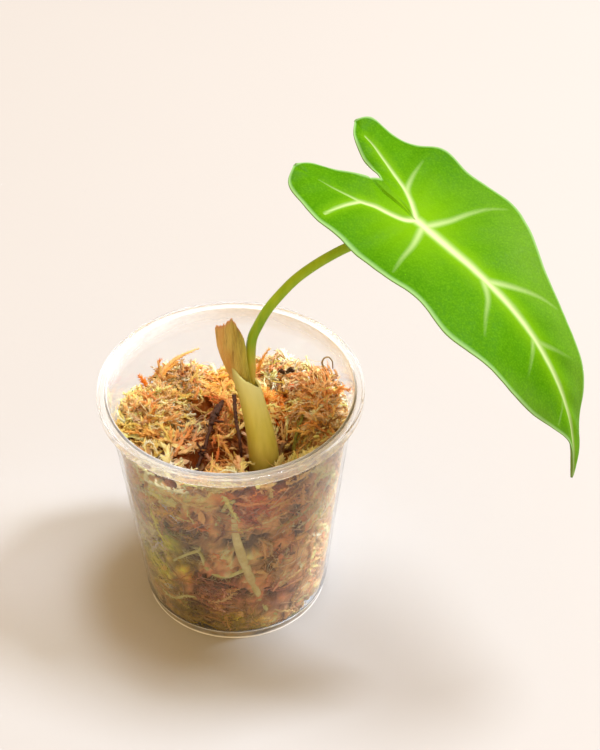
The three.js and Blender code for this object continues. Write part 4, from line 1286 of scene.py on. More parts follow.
def painted_light_and_tone(tints, points):
    """Tints with painted light and shade at the WALL_LIGHT places, and random lighter and darker clouds
    over them.
    """
    place = wall_place(points)
    shift = 0.0
    for degrees, z, reach, gain in WALL_LIGHT:
        far = (place[:, 0] - degrees * WALL_MM) ** 2 + (place[:, 1] - z) ** 2
        shift += gain * np.exp(-far / reach**2)
    clouds = 0.85 * rough(points + 90, 0.13, 3) + 0.7 * rough(points + 60, 0.4, 2)
    light = 1.15 * np.exp(shift + clouds)
    return np.clip(tints * light[:, None], DARKEST, 0.98)


def painted_light_by_height(tints, paths):
    """Tints with painted shade in the clefts of the top and painted light on its clumps."""
    x, y, z = (paths[:, paths.shape[1] // 2, k] for k in range(3))
    light = np.clip(1.15 + 0.22 * (z - moss_top(x, y)), 0.16, 1.45)
    return np.clip(tints * light[:, None], 0, 0.98)


def wander(rng, start, heading, up, length, steps=7, turn=1.2, rise=0.5, jitter=0.2):
    """Paths (n, steps + 1, 3) from start along heading, each swerving and arching its own way."""
    n = len(start)
    side = unit(np.cross(heading, up))
    bend = np.linspace(0, 1, steps)[None, :]
    sweep = rng.uniform(-turn, turn, (n, 1)) * bend
    ripple = rng.uniform(-0.4, 0.4, (n, 1)) * np.sin(bend * rng.uniform(4, 9, (n, 1)))
    angle = (sweep + ripple)[..., None]
    arch = (rng.uniform(0.3, 1, (n, 1)) * rise * (1 - 2 * bend))[..., None]
    way = heading[:, None] * np.cos(angle) + side[:, None] * np.sin(angle) + up[:, None] * arch
    step = way * (length / steps)[:, None, None]
    path = np.concatenate([start[:, None], start[:, None] + np.cumsum(step, axis=1)], axis=1)
    path[:, 1:] += rng.normal(0, jitter, (n, steps, 3))
    return path


def shaded(tints, light):
    """Colours for points: each fibre's tint times a light for each of its points."""
    own = tints.reshape((len(tints),) + (1,) * (light.ndim - 1) + (3,))
    colour = np.clip(own * light[..., None], 0, 1)
    return np.concatenate([colour, np.ones(light.shape + (1,))], axis=-1).reshape(-1, 4)


def copies(one, count, size):
    """Faces of count copies of a form that has size points."""
    return (one[None] + (np.arange(count) * size)[:, None, None]).reshape(-1, 3)


def add_fibres(heap, rng, paths, ups, radius, flat, tints, sides=4):
    """Flattened tubes along paths (n, k, 3), pointed at their end, with crinkled edges."""
    n, k, _ = paths.shape
    tangent = unit(np.gradient(paths, axis=1))
    across = unit(np.cross(tangent, ups[:, None]))
    thin = np.cross(across, tangent)
    angles = circle(sides)
    taper = np.sin(np.linspace(0.2, 0.97, k) * pi) ** 0.5 * np.linspace(1, 0.45, k)
    size = radius[:, None, None] * taper[None, :, None] * rng.uniform(0.7, 1.2, (n, k, sides))
    points = (
        paths[:, :, None]
        + across[:, :, None] * (np.cos(angles) * size)[..., None]
        + thin[:, :, None] * (np.sin(angles) * size)[..., None] * flat
    )
    ends = [(0, i + 1, i) for i in range(1, sides - 1)]
    last = (k - 1) * sides
    ends += [(last, last + i, last + i + 1) for i in range(1, sides - 1)]
    one = np.concatenate([halved(grid_faces(k, sides, True)), np.array(ends)])[:, ::-1]
    # Painted shade at each fibre's base, lighter towards its tip, with random tone
    light = np.linspace(0.86, 1.1, k)[None, :, None] * rng.uniform(0.88, 1.1, (n, k, sides))
    away = across[:, :, None] * np.cos(angles)[:, None] + thin[:, :, None] * np.sin(angles)[:, None]
    facing = away + FIBRE_LEAN * ups[:, None, None]
    heap.add(points, copies(one, n, k * sides), facing, tint=shaded(tints, light))


def add_leaflets(heap, rng, paths, ups, radius, count, length, tints, press=1, slim=1, lean=(0.3, 0.9)):
    """Tiny keeled leaves all round the paths, which point forwards and out and overlap."""
    n, k, _ = paths.shape
    place = (np.arange(count) + 0.5) / count * (k - 1) * 0.98
    i = np.minimum(place.astype(int), k - 2)
    w = (place - i)[None, :, None]
    base = paths[:, i] * (1 - w) + paths[:, i + 1] * w
    tangent = unit(paths[:, i + 1] - paths[:, i])
    across = unit(np.cross(tangent, np.broadcast_to(ups[:, None], tangent.shape)))
    up = np.cross(across, tangent)
    turn = np.arange(count)[None] * 2.4 + rng.uniform(0, 6.3, (n, 1)) + rng.normal(0, 0.35, (n, count))
    out = unit(across * np.cos(turn)[..., None] + up * (np.sin(turn) * press)[..., None])
    lean = rng.uniform(*lean, (n, count))[..., None]
    way = unit(tangent * np.cos(lean) + out * np.sin(lean))
    lift = unit(out - way * (out * way).sum(-1, keepdims=True))
    flat = np.cross(way, lift)
    taper = (1 - 0.55 * place / (k - 1))[None, :]
    size = (length[:, None] * taper * rng.uniform(0.6, 1.25, (n, count)))[..., None]
    wide = size * rng.uniform(0.26, 0.42, (n, count))[..., None] * slim
    base = base + out * (radius[:, None] * taper * 0.5)[..., None]
    middle = base + way * size * rng.uniform(0.35, 0.5, (n, count))[..., None] - lift * size * 0.09
    curl = lift * size * rng.uniform(-0.12, 0.22, (n, count))[..., None]
    tip = base + way * size + curl
    points = np.stack([base, middle + flat * wide, middle - flat * wide, tip], axis=2)
    one = np.array([(0, 2, 1), (1, 2, 3), (0, 3, 2), (0, 1, 3)])
    # Painted shade at each leaflet's base and painted light at its tip, with random tone
    light = rng.uniform(0.88, 1.12, (n, count, 1)) * np.array([0.86, 1, 1, 1.15])
    facing = np.repeat((0.8 * out + 0.4 * lift + LEAFLET_LEAN * ups[:, None])[:, :, None], 4, axis=2)
    heap.add(points, copies(one, n * count, 4), facing, tint=shaded(tints, light))


def add_flakes(heap, rng, centre, heading, up, length, width, tints):
    """Crumpled papery scraps: closed thin sheets with ruffled, tapered outlines."""
    n, rows, columns = len(centre), 6, 4
    a, b = np.meshgrid(np.linspace(-1, 1, rows), np.linspace(-1, 1, columns), indexing="ij")
    side = unit(np.cross(heading, up))
    ruffle = (
        np.sin(rng.uniform(0, 6, (n, 1, 1)) + rng.uniform(1.5, 4, (n, 1, 1)) * a)
        + np.sin(rng.uniform(0, 6, (n, 1, 1)) + rng.uniform(1.5, 4, (n, 1, 1)) * b)
        + rng.normal(0, 0.35, (n, rows, columns))
    )
    along_it = a[None] * length[:, None, None] * 0.5 + rng.normal(0, 0.12, (n, rows, columns))
    ragged = rng.uniform(0.45, 1.15, (n, rows, 1)) * (1 - 0.75 * a[None] ** 2)
    across_it = b[None] * ragged * width[:, None, None] * 0.5 + rng.normal(0, 0.15, (n, rows, columns))
    middle = (
        centre[:, None, None]
        + heading[:, None, None] * along_it[..., None]
        + side[:, None, None] * across_it[..., None]
        + up[:, None, None] * (ruffle * width[:, None, None] * 0.13)[..., None]
    )
    thick = up[:, None, None] * 0.16
    points = np.stack([middle + thick, middle - thick], axis=1).reshape(n, -1, 3)
    quads = grid_faces(rows, columns, False)
    under = quads[:, ::-1] + rows * columns
    ring = [(0, j) for j in range(columns)] + [(i, columns - 1) for i in range(1, rows)]
    ring += [(rows - 1, j) for j in range(columns - 2, -1, -1)] + [(i, 0) for i in range(rows - 2, 0, -1)]
    ring = np.array([i * columns + j for i, j in ring])
    after = np.roll(ring, -1)
    rim = np.stack([after, ring, ring + rows * columns, after + rows * columns], axis=1)
    one = halved(np.concatenate([quads, under, rim]))
    light = rng.uniform(0.85, 1.15, (n, points.shape[1]))
    lean = side[:, None, None] * (0.4 * np.cos(ruffle * 2))[..., None]
    facing = np.stack([up[:, None, None] + lean, lean - up[:, None, None]], axis=1)
    heap.add(points, copies(one, n, points.shape[1]), facing, tint=shaded(tints, light))


def add_strands(heap, rng, paths, up, size, leaflets, leaf, tints):
    """Leafy strands: fibres of radius size[0] to size[1], each with leaflets about leaf long."""
    radius = rng.uniform(*size, len(paths))
    add_fibres(heap, rng, paths, up, radius, 0.8, tints)
    length = leaf * rng.uniform(0.75, 1.15, len(paths))
    add_leaflets(heap, rng, paths, up, radius, leaflets, length, tints, slim=0.55, lean=(0.12, 0.5))


def clear_of(paths, line, size):
    """True for paths that stay further than size from every point of a line."""
    far = np.linalg.norm(paths[:, :, None] - line[None, None], axis=-1)
    return (far > size).all(axis=(1, 2))


def off_stem(paths):
    """True for paths that stay out of the stalk base."""
    size = along(STEM_R, np.linspace(0, 1, 40)) + 0.6
    return clear_of(paths, evenly(STEM_PATH, 40), size)


def off_twigs(paths):
    """True for paths that don't cover the twigs."""
    keep = np.ones(len(paths), bool)
    for path, _, _ in TWIG_DARK[:1] + TWIG_STEM:
        line = evenly(path, 40)
        for rise in (0, 1.6, 3.2, 4.8):
            keep &= clear_of(paths, line + np.array([0, -0.75, 0.66]) * rise, 1.7)
    return keep


def off_roots(paths, clear):
    """True for paths that don't cover the roots at the wall."""
    keep = np.ones(len(paths), bool)
    for path, radius in ROOTS:
        line = evenly([on_wall(a, z, 1.0) for a, z in path], 40)
        size = along(radius, np.linspace(0, 1, 40)) * clear + 0.7
        bare = line[:, 2] < 58
        keep &= clear_of(paths, line[bare], size[bare])
    return keep


def kept_in(heap, margin):
    """The heap with everything moved inside the cup."""
    heap.points = [press_in(p, margin) for p in heap.points]
    return heap


# The wall's patches with millimetres in place of degrees, and the base colours of wall and top
WALL_SPOTS = [(a * WALL_MM, *rest) for a, *rest in WALL_PATCHES]
WALL_BASE = {"tan": 5, "straw": 4, "gold": 2, "pink": 2, "brown": 0.8, "rust": 0.5, "cream": 2}
# Radii of the leafy ropes and sprays
ROPE = (0.6, 1.0)
SPRAY = (0.35, 0.6)
TOP_BASE = {"gold": 4, "tan": 2, "orange": 1.6, "rust": 0.8, "straw": 3, "brown": 0.6, "cream": 2.5}


def moss_body_heap():
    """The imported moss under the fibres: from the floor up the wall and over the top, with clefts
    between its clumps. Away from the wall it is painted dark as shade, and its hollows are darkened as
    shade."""
    rng = np.random.default_rng(3)
    sides, wall_rows, top_rows = 200, 52, 42
    angles = circle(sides)
    edge_z = ground(38.5 * np.cos(angles), 38.5 * np.sin(angles)) - 1.0
    edge_r = inside_r(edge_z) - 1.8
    levels = [(r, np.full(sides, z)) for r, z in MOSS_FLOOR]
    low = MOSS_FLOOR[-1][1] + 0.9
    for t in np.linspace(0, 1, wall_rows):
        z = low + (edge_z - 1.2 - low) * t
        levels.append((inside_r(z) - 1.0, z))
    for share in np.linspace(0.98, 0.03, top_rows):
        x, y = edge_r * share * np.cos(angles), edge_r * share * np.sin(angles)
        levels.append((edge_r * share, ground(x, y) - 1.3))
    rings = [np.stack([r * np.cos(angles), r * np.sin(angles), z], axis=1) for r, z in levels]
    points = np.concatenate(rings)
    dents = rough(points, 0.1, 5) + 0.5 * rough(points + 50, 0.35, 3)
    at_wall = np.zeros(len(levels), bool)
    at_wall[len(MOSS_FLOOR) - 2 : len(MOSS_FLOOR) + wall_rows] = True
    at_wall = np.repeat(at_wall, sides)
    hollow = np.clip(-1.7 * dents, 0, 1.3) * at_wall
    ridges = 0.35 * rough(points * np.array([1, 1, 2.2]), 0.8, 3) * at_wall
    r = np.hypot(points[:, 0], points[:, 1])
    points[:, :2] *= (1 - (2.8 * hollow - np.minimum(ridges, 0.6)) / np.maximum(r, 1))[:, None]
    points = np.vstack([points, [(0, 0, 1.9)], points[-sides:].mean(0)])
    walls = fibre_tints(rng, WALL_BASE, wall_place(points), WALL_SPOTS, 0.1, 0.08)
    tops = fibre_tints(rng, {"brown": 3, "rust": 2, "dark": 2}, points, WARM_PATCHES, 0.1, 0.08)
    inner = np.concatenate([~at_wall, [True, True]])[:, None]
    # Painted shade: darker in the hollows at the wall, and dark brown at 0.65 away from the wall
    light = np.concatenate([1.0 - 0.9 * np.minimum(hollow, 1), [0.5, 0.5]])[:, None]
    tints = np.where(inner, tops * 0.65, painted_light_and_tone(walls * light, points))
    tints = np.hstack([tints, np.ones((len(tints), 1))])
    return kept_in(Heap().add(points, capped_faces(len(levels), sides), tint=tints), 0.45)


def wall_paths(rng, count, length, deep, clear, flow=0.8):
    """Paths that lie pressed against the wall, follow each other's direction loosely and leave
    the roots bare."""
    angle = rng.uniform(-180, 180, count)
    z = rng.uniform(2.5, 83, count)
    start = on_wall(angle, z, rng.uniform(*deep, count))
    out = unit(start * np.array([1, 1, 0]))
    up = np.array([0, 0, 1.0])
    drift = 2.2 * np.sin(angle * 0.045 + z * 0.05) + 1.7 * np.sin(z * 0.09 - angle * 0.03)
    tilt = (drift + rng.normal(0, flow, count))[:, None]
    heading = unit(np.cross(up, out) * np.cos(tilt) + up * np.sin(tilt) * 0.8)
    paths = wander(rng, start, heading, out, rng.uniform(*length, count), 7, 1.1, 0.08, 0.22)
    top = ground(paths[..., 0], paths[..., 1]) + 0.6
    keep = (paths[..., 2] < top).all(axis=1) & (paths[..., 2] > 1.8).all(axis=1)
    paths, out = press_in(paths[keep], 0.5), out[keep]
    keep = off_roots(paths, clear)
    return paths[keep], out[keep]


def wall_moss_heap(look):
    """Flattened strands, sprays, scraps and threads against the wall."""
    rng = np.random.default_rng(look.seed)
    heap = Heap()

    def lay(count, length, deep, clear, flow=0.8):
        return wall_paths(rng, int(count * look.density), length, deep, clear, flow)

    def tinted(paths, names, loose, spread=0.3):
        return fibre_tints(rng, names, wall_place(paths[:, 3]), WALL_SPOTS, loose, spread)

    for count, length, size, deep, leaflets, leaf, clear in (
        (330, (10, 22), (0.5, 0.9), (0.7, 1.7), 32, 2.8, 0.7),
        (760, (6, 12), (0.3, 0.6), (0.5, 1.2), 12, 2.2, 1.0),
    ):
        paths, out = lay(count, length, deep, clear)
        tints = painted_light_and_tone(tinted(paths, WALL_BASE, 0.4), paths[:, 3])
        radius = rng.uniform(*size, len(paths))
        add_fibres(heap, rng, paths, out, radius, 0.5, tints)
        length = leaf * rng.uniform(0.7, 1.2, len(paths))
        add_leaflets(heap, rng, paths, out, radius, leaflets, length, tints, 0.4)
    paths, out = lay(240, (4, 7), (0.4, 1.0), 1.2)
    heading = unit(paths[:, -1] - paths[:, 0])
    tints = painted_light_and_tone(tinted(paths, WALL_BASE, 0.3), paths[:, 3])
    length, width = rng.uniform(3, 7, len(paths)), rng.uniform(1.5, 3.5, len(paths))
    add_flakes(heap, rng, paths[:, 3], heading, out, length, width, tints)
    paths, out = lay(1300, (6, 18), (0.3, 0.55), 0.9, 1.2)
    tints = tinted(paths, {"cream": 6, "straw": 4, "tan": 2}, 0.5, 0.2)
    add_fibres(heap, rng, paths, out, rng.uniform(0.09, 0.22, len(paths)), 1.0, tints, 3)
    return kept_in(heap, 0.3)


def tufts(rng, start, heading, up, each, length, spread, rise):
    """Sprays of a few pointed branches that leave one place: paths and their up directions."""
    start, heading, up = (np.repeat(v, each, axis=0) for v in (start, heading, up))
    n = len(start)
    side = unit(np.cross(heading, up))
    angle = rng.normal(0, spread, (n, 1))
    lift = rng.normal(0.15, 0.35, (n, 1))
    way = unit(heading * np.cos(angle) + side * np.sin(angle) + up * lift)
    return wander(rng, start, way, up, rng.uniform(*length, n), 5, 0.9, rise, 0.15), up


def settle(paths, up, low, high):
    """Keeps paths near the moss's top, inside the cup and out of the stalk base."""
    floor = ground(paths[..., 0], paths[..., 1])
    paths[..., 2] = np.clip(paths[..., 2], floor + low, floor + high)
    paths = press_in(paths, TO_WALL)
    keep = off_stem(paths) & off_twigs(paths)
    return paths[keep], up[keep]


def scattered(rng, count, low, high):
    """Starts over the whole top, low to high above it, with a heading and an up direction."""
    r = TOP_R * np.sqrt(rng.uniform(0, 1, count))
    angle = rng.uniform(0, 2 * np.pi, count)
    x, y = r * np.cos(angle), r * np.sin(angle)
    start = np.stack([x, y, ground(x, y) + rng.uniform(low, high, count)], axis=1)
    drift = 2.4 * np.sin(0.13 * x + 0.06 * y) + 1.8 * np.sin(0.11 * y - 0.05 * x + 1)
    turn = drift + rng.normal(0, 0.8, count)
    heading = np.stack([np.cos(turn), np.sin(turn), np.zeros(count)], axis=1)
    return start, heading, np.tile([0, 0, 1.0], (count, 1))


def bare_clefts(rng, paths, up):
    """Leaves out most of what would fill the clefts."""
    middle = paths[:, paths.shape[1] // 2]
    low = ground(middle[:, 0], middle[:, 1]) - moss_top(middle[:, 0], middle[:, 1])
    keep = (low > -1.6) | (rng.random(len(paths)) < 0.25)
    return paths[keep], up[keep]


def top_moss_heap(look):
    """Ropes, sprays, scraps and threads that lie over the top."""
    rng = np.random.default_rng(look.seed + 1)
    heap = Heap()

    def scatter(count, low, high):
        return scattered(rng, int(count * look.density), low, high)

    def tinted(paths, row, names=TOP_BASE):
        return fibre_tints(rng, names, paths[:, row, :2], TOP_PATCHES)

    start, heading, up = scatter(340, -0.7, 0.5)
    paths = wander(rng, start, heading, up, rng.uniform(8, 18, len(start)), 7, 1.5, 0.5, 0.3)
    paths, up = bare_clefts(rng, *settle(paths, up, -0.6, 4.5))
    add_strands(heap, rng, paths, up, ROPE, 52, 3.3, painted_light_by_height(tinted(paths, 3), paths))
    start, heading, up = scatter(170, -0.2, 1.2)
    paths, up = tufts(rng, start, heading, up, 3, (5, 10), 0.45, 0.7)
    paths, up = bare_clefts(rng, *settle(paths, up, -0.4, 6))
    add_strands(heap, rng, paths, up, SPRAY, 16, 2.6, painted_light_by_height(tinted(paths, 2), paths))
    start, heading, up = scatter(110, 0, 1.4)
    lean = unit(up + 0.5 * rng.normal(0, 1, up.shape))
    paths, lean = settle(start[:, None].copy(), lean, -0.1, 2)
    tints = painted_light_by_height(tinted(paths, 0, {**TOP_BASE, "cream": 4}), paths)
    heading = unit(np.cross(lean, rng.normal(0, 1, lean.shape)))
    length, width = rng.uniform(3, 6.5, len(paths)), rng.uniform(1, 2.2, len(paths))
    add_flakes(heap, rng, paths[:, 0], heading, lean, length, width, tints)
    start, heading, up = scatter(220, 0, 1.5)
    heading = unit(heading + up * 0.5)
    paths = wander(rng, start, heading, up, rng.uniform(6, 13, len(start)), 7, 1.8, 0.8, 0.2)
    paths, up = settle(paths, up, -0.3, 6.5)
    tints = tinted(paths, 3, {"cream": 3, "gold": 3, "rust": 1})
    add_fibres(heap, rng, paths, up, rng.uniform(0.09, 0.17, len(paths)), 1.0, tints, 3)
    return kept_in(heap, 0.35)


def bunch_core(centre, core, seed, name):
    """The lumpy ball inside a bunch: points, faces, the facing of each point and its tint, darkened as
    painted shade.
    """
    rows, sides = 26, 40
    polar = np.linspace(0.02, pi - 0.02, rows)
    ball = turned(np.sin(polar), np.cos(polar), sides)
    lumpy = 0.86 + 0.22 * rough(ball * 3 + seed, 1.0)
    caps = np.array([[j, (j + 1) % sides, 0] for j in range(1, sides - 1)])
    last = (rows - 1) * sides
    wall = halved(grid_faces(rows, sides, True)[:, ::-1])
    # Painted shade: the core is darkened to 0.6 of its colour, as deep inside the bunch
    tint = np.append(np.array(fibre_colour(name)) * 0.6, 1)
    faces = np.concatenate([wall, caps, last + caps[:, ::-1]])
    return centre + ball * core * lumpy[:, None], faces, ball / core, np.tile(tint, (len(ball), 1))


def bunch_heap(density, seed, centre, core, inside, ropes, sprays, reach, droop, names, extra):
    """A loose bunch: a ragged core, ropes that cross over it and sprays that stand out of it."""
    rng = np.random.default_rng(seed)
    ropes, sprays = int(ropes * density), int(sprays * density)
    centre, core = np.array(centre, float), np.array(core, float)
    points, faces, facing, tint = bunch_core(centre, core, seed, inside)
    heap = Heap().add(points, faces, facing, tint=tint)

    def on_core(n):
        """Starts on the core, with a heading that lies along it and droops, and an up direction."""
        spot = unit(rng.normal(0, 1, (n, 3)))
        spot[:, 2] = np.abs(spot[:, 2]) * 1.15 - 0.2
        start = centre + spot * core * rng.uniform(0.75, 1.02, (n, 1))
        up = unit(spot / core + np.array([0, 0, 0.12]))
        way = unit(np.cross(up, rng.normal(0, 1, (n, 3))))
        way = unit(way + np.array(droop) * rng.uniform(0.2, 1, (n, 1)))
        return start, unit(way - up * (way * up).sum(1, keepdims=True) * 0.7), up

    def laid(paths, up):
        """Paths above the ground, inside the cup and out of the stalk base."""
        floor = ground(paths[..., 0], paths[..., 1])
        paths[..., 2] = np.maximum(paths[..., 2], floor - 0.4)
        paths = press_in(paths, TO_WALL)
        keep = off_stem(paths)
        return paths[keep], up[keep]

    start, heading, up = on_core(ropes)
    paths = wander(rng, start, heading, up, rng.uniform(*reach, ropes), 7, 1.4, 0.4, 0.3)
    paths, up = laid(paths, up)
    tints = fibre_tints(rng, names, paths[:, 3], [], 0.55, 0.28)
    add_strands(heap, rng, paths, up, ROPE, 46, 3.2, tints)
    start, heading, up = on_core(sprays)
    length = (reach[0] * 0.5, reach[1] * 0.75)
    paths, up = laid(*tufts(rng, start, unit(heading + 0.3 * up), up, 3, length, 0.5, 0.5))
    tints = fibre_tints(rng, names, paths[:, 2], [], 0.55, 0.28)
    add_strands(heap, rng, paths, up, SPRAY, 16, 2.6, tints)
    scraps = ropes // 2
    start, heading, up = on_core(scraps)
    tints = fibre_tints(rng, {**names, "cream": 3}, start, [], 0.35)
    start += up * rng.uniform(0.2, 1.2, (scraps, 1))
    length, width = rng.uniform(3, 6, scraps), rng.uniform(1.3, 3, scraps)
    add_flakes(heap, rng, press_in(start, 1.2), heading, up, length, width, tints)
    for path, name, size in extra:
        line, up = evenly(path, 12)[None], np.array([[0, -0.6, 0.8]])
        size, tint = np.array([size]), np.array([fibre_colour(name)])
        add_fibres(heap, rng, line, up, size, 0.45, tint, 6)
        add_leaflets(heap, rng, line, up, size, 46, np.array([2.2]), tint, 0.7, 0.7)
    return kept_in(heap, 0.35)


# The loose bunches: slot, and where each lies, its core's half widths and colour, how many ropes
# and sprays it has, how far they reach, where they droop, its colours and its single strands
BUNCHES = {
    "moss_right": (
        "moss_straw",
        {
            "seed": 5, "centre": (31, 4, 77), "core": (4.5, 14, 5), "inside": "brown", "ropes": 190,
            "sprays": 120, "reach": (8, 14), "droop": (-0.5, -0.2, -0.5),
            "names": {"straw": 4, "tan": 2, "gold": 4, "cream": 4, "brown": 1.2, "orange": 3},
            "extra": [([(33, -2, 81), (30, -6, 79), (26, -10, 76), (22, -13, 73)], "straw", 0.6)],
        },
    ),
    "moss_left": (
        "moss_straw",
        {
            "seed": 31, "centre": (-27, 4, 75), "core": (5.5, 8, 2.2), "inside": "orange",
            "ropes": 120, "sprays": 90, "reach": (8, 13), "droop": (0.3, 0, 0.1),
            "names": {"yellow": 6, "gold": 4, "orange": 3, "cream": 4, "rust": 0.4},
            "extra": [
                ([(-33, 6, 74), (-35, 7, 78), (-35.5, 7.6, 81)], "yellow", 0.55),
                ([(-35, 3, 74), (-36.4, 3.6, 77), (-37, 4.4, 79)], "yellow", 0.4),
                ([(-30, 18, 75), (-32, 20, 77), (-33, 21, 77.6)], "orange", 0.8),
            ],
        },
    ),
    "moss_gold": (
        "moss_gold",
        {
            "seed": 47, "centre": (-20, 23, 70.5), "core": (6, 5, 2.4), "inside": "orange",
            "ropes": 120, "sprays": 90, "reach": (8, 13), "droop": (0.2, 0, 0.3),
            "names": {"gold": 4, "orange": 2, "yellow": 5, "cream": 4, "rust": 0.6},
            "extra": [
                ([(-27.5, 20, 72), (-25, 23.4, 77), (-19.5, 26.6, 81), (-12, 28.6, 83.6)], "yellow", 1.0),
                ([(-26, 20, 73), (-23.6, 23, 77.6), (-19.6, 25.6, 80)], "gold", 0.7),
            ],
        },
    ),
    "moss_pale": (
        "moss_pale",
        {
            "seed": 63, "centre": (17, 28, 70.5), "core": (6, 4.5, 2.4), "inside": "orange",
            "ropes": 100, "sprays": 80, "reach": (7, 10), "droop": (0, 0, 0.2),
            "names": {"cream": 4, "yellow": 5, "gold": 3, "orange": 1, "rust": 0.6},
            "extra": [
                ([(8, 27, 74), (10, 28, 79), (12.5, 29, 83.5)], "gold", 0.5),
                ([(18.4, 22.6, 77.6), (19.6, 22.8, 78.4), (20.8, 22.6, 78)], "dark", 0.6),
                ([(15.4, 23, 77.4), (16.4, 23, 77.8), (17.4, 23, 77.4)], "dark", 0.4),
                ([(18.6, 16.4, 75.6), (20.4, 16.8, 76.2), (22.4, 17.2, 75.8)], "rust", 0.8),
            ],
        },
    ),
    "moss_rust": (
        "moss_rust",
        {
            "seed": 79, "centre": (11, 10, 71), "core": (5, 4.5, 2.2), "inside": "orange",
            "ropes": 90, "sprays": 70, "reach": (6, 9), "droop": (0, 0, 0),
            "names": {"rust": 3, "orange": 7, "gold": 4, "yellow": 1}, "extra": [],
        },
    ),
}


# Settings
class CupLook(bpy.types.PropertyGroup):
    tint: bpy.props.FloatVectorProperty(
        name="Tint", description="Colour of the plastic", subtype="COLOR",
        default=(0.99, 0.992, 0.99),
    )
    haze: bpy.props.FloatProperty(
        name="Haze", description="How milky the plastic is", default=0.014, min=0, max=0.5,
        subtype="FACTOR",
    )


class LeafLook(bpy.types.PropertyGroup):
    thickness: bpy.props.FloatProperty(
        name="Thickness", description="Thickness of the blade", default=0.0007, min=0.0003,
        max=0.002, unit="LENGTH",
    )
    vein_depth: bpy.props.FloatProperty(
        name="Vein depth", description="How far the veins lie below the blade", default=0.00035,
        min=0, max=0.001, unit="LENGTH",
    )
    green: bpy.props.FloatVectorProperty(
        name="Green", description="Colour of the blade", subtype="COLOR",
        default=screen(67, 121, 0)[:3],
    )
    # Painted shade: the green that the blade turns towards its margin and tip
    painted_shade_green: bpy.props.FloatVectorProperty(
        name="Deep green", description="Colour of its darker clouds", subtype="COLOR",
        default=screen(46, 100, 0)[:3],
    )
    vein: bpy.props.FloatVectorProperty(
        name="Vein", description="Colour of the veins", subtype="COLOR",
        default=screen(192, 204, 146)[:3],
    )
    glow: bpy.props.FloatProperty(
        name="Glow", description="Share of light that passes through", default=0.12, min=0, max=1,
        subtype="FACTOR",
    )


class StalkLook(bpy.types.PropertyGroup):
    stalk: bpy.props.FloatVectorProperty(
        name="Stalk", description="Colour of the thin stalk", subtype="COLOR",
        default=screen(142, 178, 10)[:3],
    )
    stem: bpy.props.FloatVectorProperty(
        name="Stem", description="Colour of the swollen base", subtype="COLOR",
        default=screen(228, 224, 108)[:3],
    )
    sheath: bpy.props.FloatVectorProperty(
        name="Sheath", description="Colour of the dried stub", subtype="COLOR",
        default=screen(212, 160, 78)[:3],
    )


class MossLook(bpy.types.PropertyGroup):
    seed: bpy.props.IntProperty(name="Seed", description="Changes where the fibres lie", default=12)
    density: bpy.props.FloatProperty(
        name="Density", description="Share of the full number of fibres", default=1.0, min=0.05,
        max=1.2, subtype="FACTOR",
    )
    glow: bpy.props.FloatProperty(
        name="Glow", description="Share of light that passes through a fibre", default=0.32, min=0,
        max=1, subtype="FACTOR",
    )


class StudioLook(bpy.types.PropertyGroup):
    floor: bpy.props.FloatVectorProperty(
        name="Floor", description="Colour of the floor", subtype="COLOR",
        default=(0.425, 0.404, 0.378),
    )
    key: bpy.props.FloatProperty(
        name="Key light", description="Strength of the lamp on the right", default=1.0, min=0,
    )
    top: bpy.props.FloatProperty(
        name="Top light", description="Strength of the lamp above", default=1.0, min=0,
    )
    fill: bpy.props.FloatProperty(
        name="Fill light", description="Strength of the light from all round", default=1.0, min=0,
    )


# Operators
class PLANT_OT_cup(bpy.types.Operator):
    """Makes the clear cup"""

    bl_idname = "plant.cup"
    bl_label = "Cup"

    def execute(self, context):
        cup_heap().piece("clear_cup", clear_plastic(context.scene.cup_look), "clear_plastic", ["cup"])
        return {"FINISHED"}


class PLANT_OT_leaf(bpy.types.Operator):
    """Makes the arrow-shaped leaf with its veins"""

    bl_idname = "plant.leaf"
    bl_label = "Leaf"

    def execute(self, context):
        look = context.scene.leaf_look
        leaf_heap(look).piece("velvet_blade", velvet_leaf(look), "leaf", ["leaf_blade"])
        return {"FINISHED"}


class PLANT_OT_stalks(bpy.types.Operator):
    """Makes the thin stalk, its swollen base and the dried stub"""

    bl_idname = "plant.stalks"
    bl_label = "Stalks"

    def execute(self, context):
        look = context.scene.stalk_look
        petiole_heap().piece("leaf_stalk", stalk_skin(look), "stalk_skin", ["petiole"])
        stem_heap().piece("stalk_base", stem_skin(look), "stem_skin", ["stem_base"])
        stub_heap().piece("dried_stub", dry_sheath(look), "dry_sheath", ["old_stub"])
        return {"FINISHED"}


class PLANT_OT_roots(bpy.types.Operator):
    """Makes the pale roots against the wall"""

    bl_idname = "plant.roots"
    bl_label = "Roots"

    def execute(self, context):
        roots_heap().piece("pale_roots", root_skin(), "root", ["root_pale"])
        return {"FINISHED"}


class PLANT_OT_twigs(bpy.types.Operator):
    """Makes the two dark twigs, the dry curl and the green sprig"""

    bl_idname = "plant.twigs"
    bl_label = "Twigs"

    def execute(self, context):
        dark = bark("dark_bark", screen(52, 30, 24), screen(104, 66, 50), 0.8)
        twig_heap(TWIG_DARK, 3, 0.2, TWIG_SCALES).piece("knobbly_twig", dark, "dark_twig", ["twig_dark"])
        twig_heap(TWIG_STEM, 9, 0.12).piece("thin_twig", dark, "dark_twig", ["twig_stem"])
        dry = bark("dry_fibre", screen(110, 88, 58), screen(176, 150, 104), 0.4)
        twig_heap(CURL, 15, 0.05).piece("dry_curl", dry, "dry_fibre", ["curl_brown"])
        green = bark("green_sprig", screen(92, 92, 34), screen(158, 152, 66), 0.4)
        twig_heap(SPRIG, 21, 0.1).piece("moss_sprig", green, "green_sprig", ["sprig_green"])
        return {"FINISHED"}


